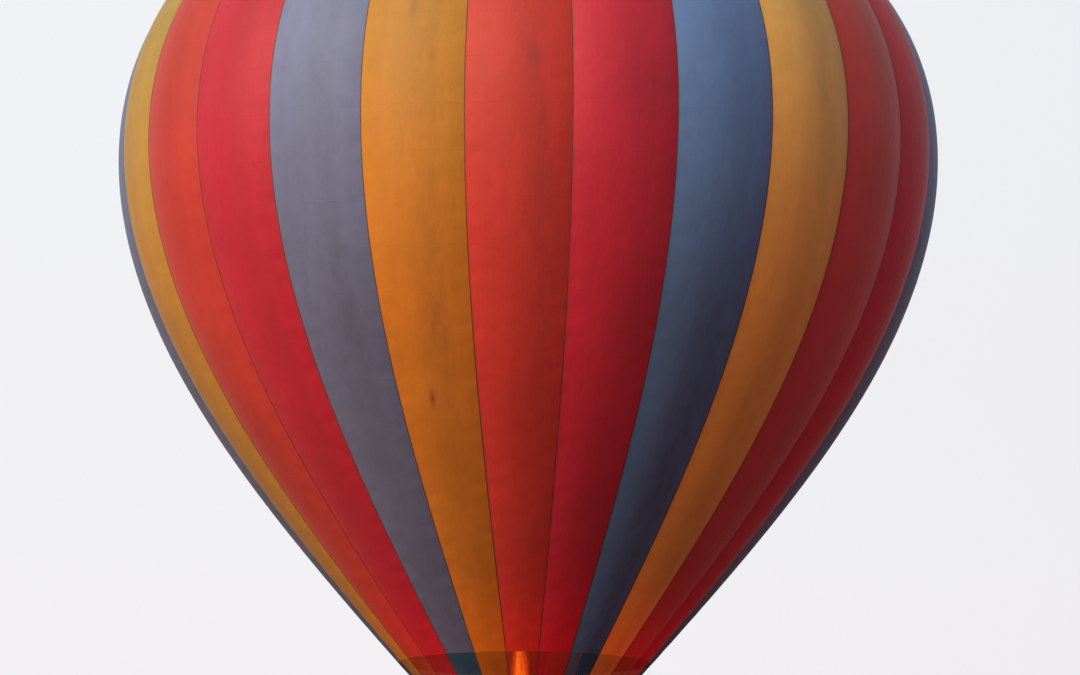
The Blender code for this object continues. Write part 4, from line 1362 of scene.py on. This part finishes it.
def wireEnds():
    # Each wire's foot and head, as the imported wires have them.
    ends = []
    count = envelope["gores"] // 4
    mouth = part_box("mouth_hem")[0].z
    for number, (name, signs) in enumerate(cornerSigns.items()):
        x, y = signs[0] * (1.60 - 0.02), signs[1] * (0.70 - 0.02)
        foot = Vector((x, y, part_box(f"flying_wires_{name}")[0].z + 0.10))
        for k in range(count):
            azimuth = (2 * (number * count + k) + 1) * halfGore
            head = Vector(skinPoints(mouthArc, azimuth, 1.0, envelope["cloth"] / 2))
            head.z = mouth
            aside = -signs[1] * 0.016 * (k - (count - 1) / 2)
            ends.append((foot + Vector((aside, 0, 0)), head))
    return ends


def makeRigging():
    s = rigging
    steel = frame["steel"]
    wire = steelFinish("strandedWire", (0.50, 0.50, 0.51), 0.36)
    dress([f"flying_wires_{name}" for name in cornerSigns], wire)
    half, radius = s["swageLength"] / 2, s["swageRadius"]
    profile = [(0, -half), (radius * 0.7, -half), (radius, -half * 0.8)]
    for k in range(5):
        level = -half * 0.6 + k * half * 0.3
        profile += [(radius, level - half * 0.08), (radius * 0.86, level), (radius, level + half * 0.08)]
    profile += [(radius, half * 0.8), (radius * 0.7, half), (0, half)]
    spots, facings = [], []
    for foot, head in wireEnds():
        ahead = (head - foot).normalized()
        for at in (foot + ahead * s["footReach"], head - ahead * s["topReach"]):
            spots.append(at)
            facings.append(ahead)
    alongs = [(1, 0, 0)] * len(spots)
    scatter("wireSwages", turnedShape(profile, sides=10), spots, facings, alongs, steel, "balloon", 30)
    # Sewn loops of tape that carry the wires at the mouth.
    loop = tubeShape([(0.0, -0.02, -0.05), (0.0, -0.014, 0.0), (0.0, 0.0, 0.02), (0.0, 0.014, 0.0), (0.0, 0.02, -0.05)], 0.004, 6)
    heads = [head - (head - foot).normalized() * 0.06 for foot, head in wireEnds()]
    facings = [(head - foot).normalized() for foot, head in wireEnds()]
    alongs = [outward((2 * k + 1) * halfGore) for k in range(len(heads))]
    scatter("wireLoops", loop, heads, facings, alongs, steel, "balloon")
    # Bolts through the tether plates, the sockets and the bush blocks.
    b = s["bolt"]
    hexagon = [(0, 0), (b, 0), (b, b * 0.62), (b * 0.86, b * 0.74), (0, b * 0.74)]
    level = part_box("gimbal_frame")[0].z + 0.020
    spots, facings = [], []
    for side in (-1, 1):
        face = side * (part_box("load_frame")[1].x)
        for y in (-0.08, 0.08):
            for z in (-0.03, 0.03):
                spots.append(Vector((face, y, level + z)))
                facings.append((side, 0, 0))
        for signs in ((side, -1), (side, 1)):
            spots.append(Vector((side * 1.58, signs[1] * (0.68 + 0.044), level - 0.10)))
            facings.append((0, signs[1], 0))
    scatter("frameBolts", turnedShape(hexagon, sides=6), spots, facings, [(0, 0, 1)] * len(spots), steel, "balloon", 30)


makeBurners()
makeFlame()
makeRigging()
print("burners, flame and rigging made")


# Basket

basket = {
    "half": (1.80, 0.80),
    "corner": 0.16,
    "wicker": 0.05,
    "wall": 1.12,
    "rimHeight": 0.085,
    "rimHalf": 0.055,
    "pitch": 0.020,
    "stakeStep": 0.09,
    "sway": 0.0145,
    "strand": 0.0185,
    "stake": 0.0075,
    "partition": 0.04,
    "partitionX": 0.50,
    "partitionHeight": 1.06,
    "stepHoles": {"width": 0.20, "height": 0.12, "levels": (0.28, 0.62), "x": 1.13},
}
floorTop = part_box("basket_floor")[1].z
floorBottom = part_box("basket_floor")[0].z


def holeSpots():
    h = basket["stepHoles"]
    return [(sx * h["x"], sy, level) for sx in (-1, 1) for sy in (-1, 1) for level in h["levels"]]


def cutHoles(made):
    # Takes the strands out of the step holes and closes their cut ends.
    h = basket["stepHoles"]
    cutter = bmesh.new()
    cutter.from_mesh(made.data)
    gone = []
    for face in cutter.faces:
        at = face.calc_center_median()
        for x, sy, level in holeSpots():
            near = abs(at.x - x) < h["width"] / 2 + 0.004 and at.y * sy > 0.6
            if near and level - 0.004 < at.z - floorTop < level + h["height"] + 0.004:
                gone.append(face)
                break
    bmesh.ops.delete(cutter, geom=gone, context="FACES")
    ends = [edge for edge in cutter.edges if edge.is_boundary]
    bmesh.ops.holes_fill(cutter, edges=ends, sides=12)
    strays = [edge for edge in cutter.edges if edge.is_boundary]
    bmesh.ops.delete(cutter, geom=[f for edge in strays for f in edge.link_faces], context="FACES")
    cutter.to_mesh(made.data)
    cutter.free()


def makeWeave():
    s = basket
    cane = wickerFinish("splitCane", (0.46, 0.25, 0.095), (0.25, 0.115, 0.040))
    outline = [Vector((x, y, floorTop)) for x, y in roundedOutline(s["half"], s["corner"], -s["wicker"] / 2, 6)]
    length = sum((a - b).length for a, b in zip(outline, outline[1:] + outline[:1]))
    stakes = 2 * int(length / s["stakeStep"] / 2)
    rows = 2 * int(s["wall"] / s["pitch"] / 2)
    inputs = {"Stakes": stakes, "Rows": rows, "Pitch": s["wall"] / rows, "Sway": s["sway"], "Strand": s["strand"]}
    inputs.update({"Stake": s["stake"], "Height": s["wall"] - 0.01, "Finish": cane})
    edges = [(k, (k + 1) % len(outline)) for k in range(len(outline))]
    made = growPiece("wovenWall", outline, edges, wovenWall, inputs, "balloon")
    cutHoles(made)
    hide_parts("basket_wall")
    reach = s["half"][1] - s["wicker"] - 0.01
    end = s["half"][0] - s["wicker"] - 0.012
    for side, name in ((-1, "left"), (1, "right")):
        x = side * s["partitionX"]
        lines = [
            [Vector((x, -reach, floorTop)), Vector((x, reach, floorTop))],
            [Vector((x + side * 0.03, 0, floorTop)), Vector((side * end, 0, floorTop))],
        ]
        for number, line in enumerate(lines):
            stakes = 2 * int((line[1] - line[0]).length / 0.10 / 2)
            rows = 2 * int(s["partitionHeight"] / 0.024 / 2)
            inputs = {"Stakes": stakes, "Rows": rows, "Pitch": (s["partitionHeight"] - 0.01) / rows, "Sway": 0.010}
            inputs.update({"Strand": 0.0190, "Stake": 0.0065, "Height": s["partitionHeight"] - 0.02, "Finish": cane})
            label = f"wovenPartition_{name}_{('cross', 'spine')[number]}"
            growPiece(label, line, [(0, 1)], wovenWall, inputs, "balloon")
        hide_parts(f"partition_{name}")
        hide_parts(f"partition_{name}")


def paddedRoll(name, path, halfWide, halfHigh, finish, slotName, closed, lift=0.0, bulge=0.0, bulgeStep=0.3):
    # A stuffed leather roll along a path, gathered where it is laced.
    path = [Vector(p) for p in path]
    sides = 16
    lengths = [0.0]
    for a, b in zip(path, path[1:]):
        lengths.append(lengths[-1] + (b - a).length)
    points, faces = [], []
    count = len(path)
    for k, at in enumerate(path):
        before = path[k - 1] if (closed or k) else at
        after = path[(k + 1) % count] if (closed or k < count - 1) else at
        ahead = (after - before).normalized()
        side = ahead.cross(Vector((0, 0, 1))).normalized()
        rise = side.cross(ahead)
        swell = 1 - bulge * (0.5 + 0.5 * math.cos(2 * math.pi * lengths[k] / bulgeStep)) ** 6
        for j in range(sides):
            turn = 2 * math.pi * j / sides
            across, up = math.cos(turn), math.sin(turn)
            up = max(up, -0.55)
            points.append(at + side * (halfWide * swell * across) + rise * (halfHigh * swell * up + lift))
    for k in range(count if closed else count - 1):
        m = (k + 1) % count
        for j in range(sides):
            n = (j + 1) % sides
            faces.append((k * sides + j, k * sides + n, m * sides + n, m * sides + j))
    if not closed:
        faces.append(tuple(reversed(range(sides))))
        faces.append(tuple(range((count - 1) * sides, count * sides)))
    made = keep(name, points, faces, finish, "balloon", slotName)
    mesh = bmesh.new()
    mesh.from_mesh(made.data)
    bmesh.ops.recalc_face_normals(mesh, faces=mesh.faces)
    mesh.to_mesh(made.data)
    mesh.free()
    made.data.shade_smooth()
    return made


def denser(path, step, closed):
    # Points every step along a path of straight runs.
    path = [Vector(p) for p in path]
    if closed:
        path.append(path[0])
    result = []
    for a, b in zip(path, path[1:]):
        parts = max(1, int(round((b - a).length / step)))
        result += [a.lerp(b, k / parts) for k in range(parts)]
    if not closed:
        result.append(path[-1])
    return result


def stitchShape(length, radius):
    return tubeShape([(-length / 2, 0, 0), (-length / 4, 0, radius), (length / 4, 0, radius), (length / 2, 0, 0)], radius, 5)


def makeLeather():
    s = basket
    rimLeather = leatherFinish("padLeather", (0.115, 0.042, 0.018), 0.5)
    hide = leatherFinish("scuffHide", (0.075, 0.032, 0.016), 0.8)
    thread = webbingFinish("waxedThread", (0.55, 0.47, 0.34))
    frame["hide"] = hide
    level = floorTop + s["wall"]
    middle = roundedOutline(s["half"], s["corner"], -s["wicker"] / 2, 10)
    path = denser([(x, y, level + 0.030) for x, y in middle], 0.05, True)
    rim = paddedRoll("rimPad", path, s["rimHalf"], s["rimHeight"] - 0.030, rimLeather, "padded_leather", True, 0.0, 0.05, 0.30)
    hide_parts("basket_rim")
    stitch = stitchShape(0.011, 0.0013)
    for label, out in (("Outer", 0.0555), ("Inner", -0.0555)):
        outline = roundedOutline(s["half"], s["corner"], -s["wicker"] / 2 + out, 10)
        path = [(x, y, level + 0.026) for x, y in outline]
        lineUp(f"rimStitches{label}", stitch, path, 0.017, thread, "balloon")
    # Padded tops on the partitions.
    top = floorTop + s["partitionHeight"]
    reach, end = s["half"][1] - s["wicker"] - 0.02, s["half"][0] - s["wicker"] - 0.03
    for side, name in ((-1, "left"), (1, "right")):
        x = side * s["partitionX"]
        cross = denser([(x, -reach, top), (x, reach, top)], 0.05, False)
        spine = denser([(x + side * 0.032, 0, top), (side * end, 0, top)], 0.05, False)
        for label, line in (("Cross", cross), ("Spine", spine)):
            paddedRoll(f"partitionPad{label}_{name}", line, 0.030, 0.026, rimLeather, "padded_leather", False, -0.012, 0.08, 0.24)
    # The hide band round the basket's foot, with its stitches and rivets.
    low = floorBottom
    section = [(0.0004, 0.0), (0.006, 0.0), (0.008, 0.003), (0.0082, 0.04), (0.0076, 0.075), (0.0082, 0.11)]
    section += [(0.008, 0.147), (0.006, 0.150), (0.0004, 0.150)]
    band = bandShape(s["half"], s["corner"], section, low, 10)
    band = keep("scuffHide", *band, hide, "balloon", "scuff_leather")
    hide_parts("scuff_band")
    outline = roundedOutline(s["half"], s["corner"], 0.0082, 10)
    for label, height in (("Low", 0.012), ("High", 0.138)):
        path = [(x, y, low + height) for x, y in outline]
        lineUp(f"hideStitches{label}", stitch, path, 0.016, thread, "balloon")
    # Leather binding round the step holes.
    h = s["stepHoles"]
    bindings = []
    for x, sy, level in holeSpots():
        for face in (s["half"][1] + 0.001, s["half"][1] - s["wicker"] - 0.001):
            z = floorTop + level + h["height"] / 2
            outline = roundedOutline((h["width"] / 2 + 0.012, h["height"] / 2 + 0.012), 0.03, 0, 4)
            path = [(x + a, sy * face, z + b) for a, b in outline]
            bindings.append(tubeShape(path, 0.011, 8, True))
    made = keep("stepBindings", *merged(bindings), hide, "balloon", "scuff_leather")
    fixNormals(made)


upright = {"radius": 0.032, "rows": 60, "sides": 18, "ties": 0.32}


def makeUprights():
    # Leather sleeves over the poles, drawn in at the ties, with a laced seam on the inside.
    s = upright
    sleeve = leatherFinish("sleeveLeather", (0.095, 0.040, 0.020), 0.6)
    lacePoints, laceFacing = [], []
    for name, (sx, sy) in cornerSigns.items():
        low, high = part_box(f"upright_{name}")
        foot = Vector((high.x - s["radius"] if sx > 0 else low.x + s["radius"], high.y - s["radius"] if sy > 0 else low.y + s["radius"], low.z))
        head = Vector((low.x + s["radius"] if sx > 0 else high.x - s["radius"], low.y + s["radius"] if sy > 0 else high.y - s["radius"], high.z))
        ahead = (head - foot).normalized()
        points, faces = [], []
        inside = Vector((-sx, -sy, 0)).normalized()
        for i in range(s["rows"] + 1):
            t = i / s["rows"]
            at = foot.lerp(head, t)
            along = t * (head - foot).length
            tie = 0.16 * (0.5 + 0.5 * math.cos(2 * math.pi * along / s["ties"])) ** 14
            edge = 0.10 * max(0.0, 1 - min(along, (1 - t) * (head - foot).length) / 0.03)
            for k in range(s["sides"]):
                turn = 2 * math.pi * k / s["sides"]
                out = Vector((math.cos(turn), math.sin(turn), 0))
                wrinkle = 0.012 * math.sin(7 * turn + 40 * along) + 0.010 * math.sin(3 * turn - 23 * along)
                points.append(at + out * s["radius"] * (1.0 - tie - edge + wrinkle))
        for i in range(s["rows"]):
            for k in range(s["sides"]):
                n = (k + 1) % s["sides"]
                a, b = i * s["sides"], (i + 1) * s["sides"]
                faces.append((a + k, a + n, b + n, b + k))
        faces.append(tuple(reversed(range(s["sides"]))))
        faces.append(tuple(range(s["rows"] * s["sides"], (s["rows"] + 1) * s["sides"])))
        made = keep(f"uprightSleeve_{name}", points, faces, sleeve, "balloon", "padded_leather", 60)
        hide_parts(f"upright_{name}")
        for k in range(24):
            lacePoints.append(foot.lerp(head, (k + 1) / 25) + inside * (s["radius"] * 0.99))
            laceFacing.append(inside)
    lace = stitchShape(0.022, 0.0018)
    cord = webbingFinish("laceCord", (0.50, 0.42, 0.30))
    alongs = [(0.6, 0.2, 0.75) if k % 2 else (0.6, 0.2, -0.75) for k in range(len(lacePoints))]
    scatter("sleeveLaces", lace, lacePoints, laceFacing, alongs, cord, "balloon")


cylinderFit = {"strapLevels": (0.30, 0.72), "strapHalf": 0.022, "valveHeight": 0.075}


def cylinderProfile(radius, height):
    # A foot ring, a rounded bottom edge, a dome and a valve guard: share of the radius, height.
    foot = [(0, 0), (0.75, 0), (0.75, 0.03), (0.84, 0.038), (0.92, 0.055), (0.98, 0.078), (1, 0.105)]
    dome = [(1, 0.19), (0.985, 0.175), (0.94, 0.155), (0.86, 0.137), (0.75, 0.122), (0.62, 0.11), (0.62, 0.003), (0.60, 0), (0, 0)]
    return [(share * radius, level) for share, level in foot] + [(share * radius, height - drop) for share, drop in dome]


def makeFloorAndTanks():
    plywood = woodFinish("floorPly", (0.42, 0.27, 0.135), (0.27, 0.155, 0.070), 7.0, 0.7)
    ash = woodFinish("runnerAsh", (0.36, 0.235, 0.125), (0.20, 0.115, 0.055), 10.0, 0.8)
    alloy = steelFinish("tankAlloy", (0.66, 0.67, 0.69), 0.36)
    dress(["basket_floor"], plywood)
    dress(["runners"], ash)
    strapWeb = webbingFinish("tankStrap", (0.045, 0.020, 0.018))
    c = cylinderFit
    straps, valves, wheels = [], [], []
    for name in cornerSigns:
        low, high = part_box(f"fuel_cylinder_{name}")
        middle = Vector(((low.x + high.x) / 2, (low.y + high.y) / 2, 0))
        radius = (high.x - low.x) / 2
        shape = turnedShape(cylinderProfile(radius, high.z - low.z), (middle.x, middle.y, low.z), 40)
        made = keep("fuelCylinder_" + name, *shape, alloy, "balloon", "cylinder_alloy")
        fixNormals(made)
        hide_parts("fuel_cylinder_" + name)
        for level in c["strapLevels"]:
            section = [(-0.0005, -c["strapHalf"]), (0.0025, -c["strapHalf"]), (0.0025, c["strapHalf"]), (-0.0005, c["strapHalf"])]
            straps.append(bandShape((radius, radius), radius, section, low.z + level, 10, (middle.x, middle.y)))
        top = Vector((middle.x, middle.y, high.z))
        body = [(0, 0.0005), (0.030, 0.0005), (0.030, 0.012), (0.016, 0.016), (0.016, 0.050), (0.010, 0.054), (0.010, c["valveHeight"]), (0, c["valveHeight"])]
        valves.append(turnedShape(body, top, 16))
        valves.append(tubeShape([top + Vector((0, 0, 0.035)), top + Vector((0.035, 0, 0.035)), top + Vector((0.060, 0, 0.035))], 0.010, 12))
        hub = top + Vector((0, 0, c["valveHeight"] - 0.004))
        ring = [hub + outward(2 * math.pi * k / 20) * 0.030 for k in range(20)]
        wheels.append(tubeShape(ring, 0.005, 8, True))
        for k in range(4):
            wheels.append(tubeShape([hub, hub + outward(math.pi * k / 2) * 0.029], 0.003, 6))
    keep("tankStraps", *merged(straps), strapWeb, "balloon", "load_tape")
    made = keep("tankValves", *merged(valves), frame["brass"], "balloon", "cylinder_alloy")
    fixNormals(made)
    made = keep("valveWheels", *merged(wheels), frame["grip"], "balloon", "scuff_leather")
    fixNormals(made)
    # Rope handles inside the passenger compartments, and bolts through the floor.
    ropes = []
    for sx in (-1, 1):
        for sy in (-1, 1):
            for x in (0.85, 1.42):
                y = sy * (basket["half"][1] - basket["wicker"] - 0.004)
                level = floorTop + 0.93
                path = []
                for k in range(13):
                    t = k / 12
                    sag = math.sin(math.pi * t)
                    path.append((sx * x + 0.10 * (2 * t - 1), y - sy * 0.045 * sag, level - 0.03 * sag))
                ropes.append(tubeShape(path, 0.010, 8))
    made = keep("ropeHandles", *merged(ropes), webbingFinish("ropeHandle", (0.42, 0.33, 0.20)), "balloon", "wicker")
    fixNormals(made)
    head = turnedShape([(0, 0), (0.011, 0), (0.010, 0.003), (0.006, 0.005), (0, 0.0055)], sides=10)
    spots = [Vector((x, y, floorTop)) for y in (-0.6, 0.0, 0.6) for x in (-1.6, -1.25, -0.85, -0.25, 0.25, 0.85, 1.25, 1.6)]
    scatter("floorBolts", head, spots, [(0, 0, 1)] * len(spots), [(1, 0, 0)] * len(spots), frame["steel"], "balloon")


makeWeave()
makeLeather()
makeUprights()
makeFloorAndTanks()
print("basket made")
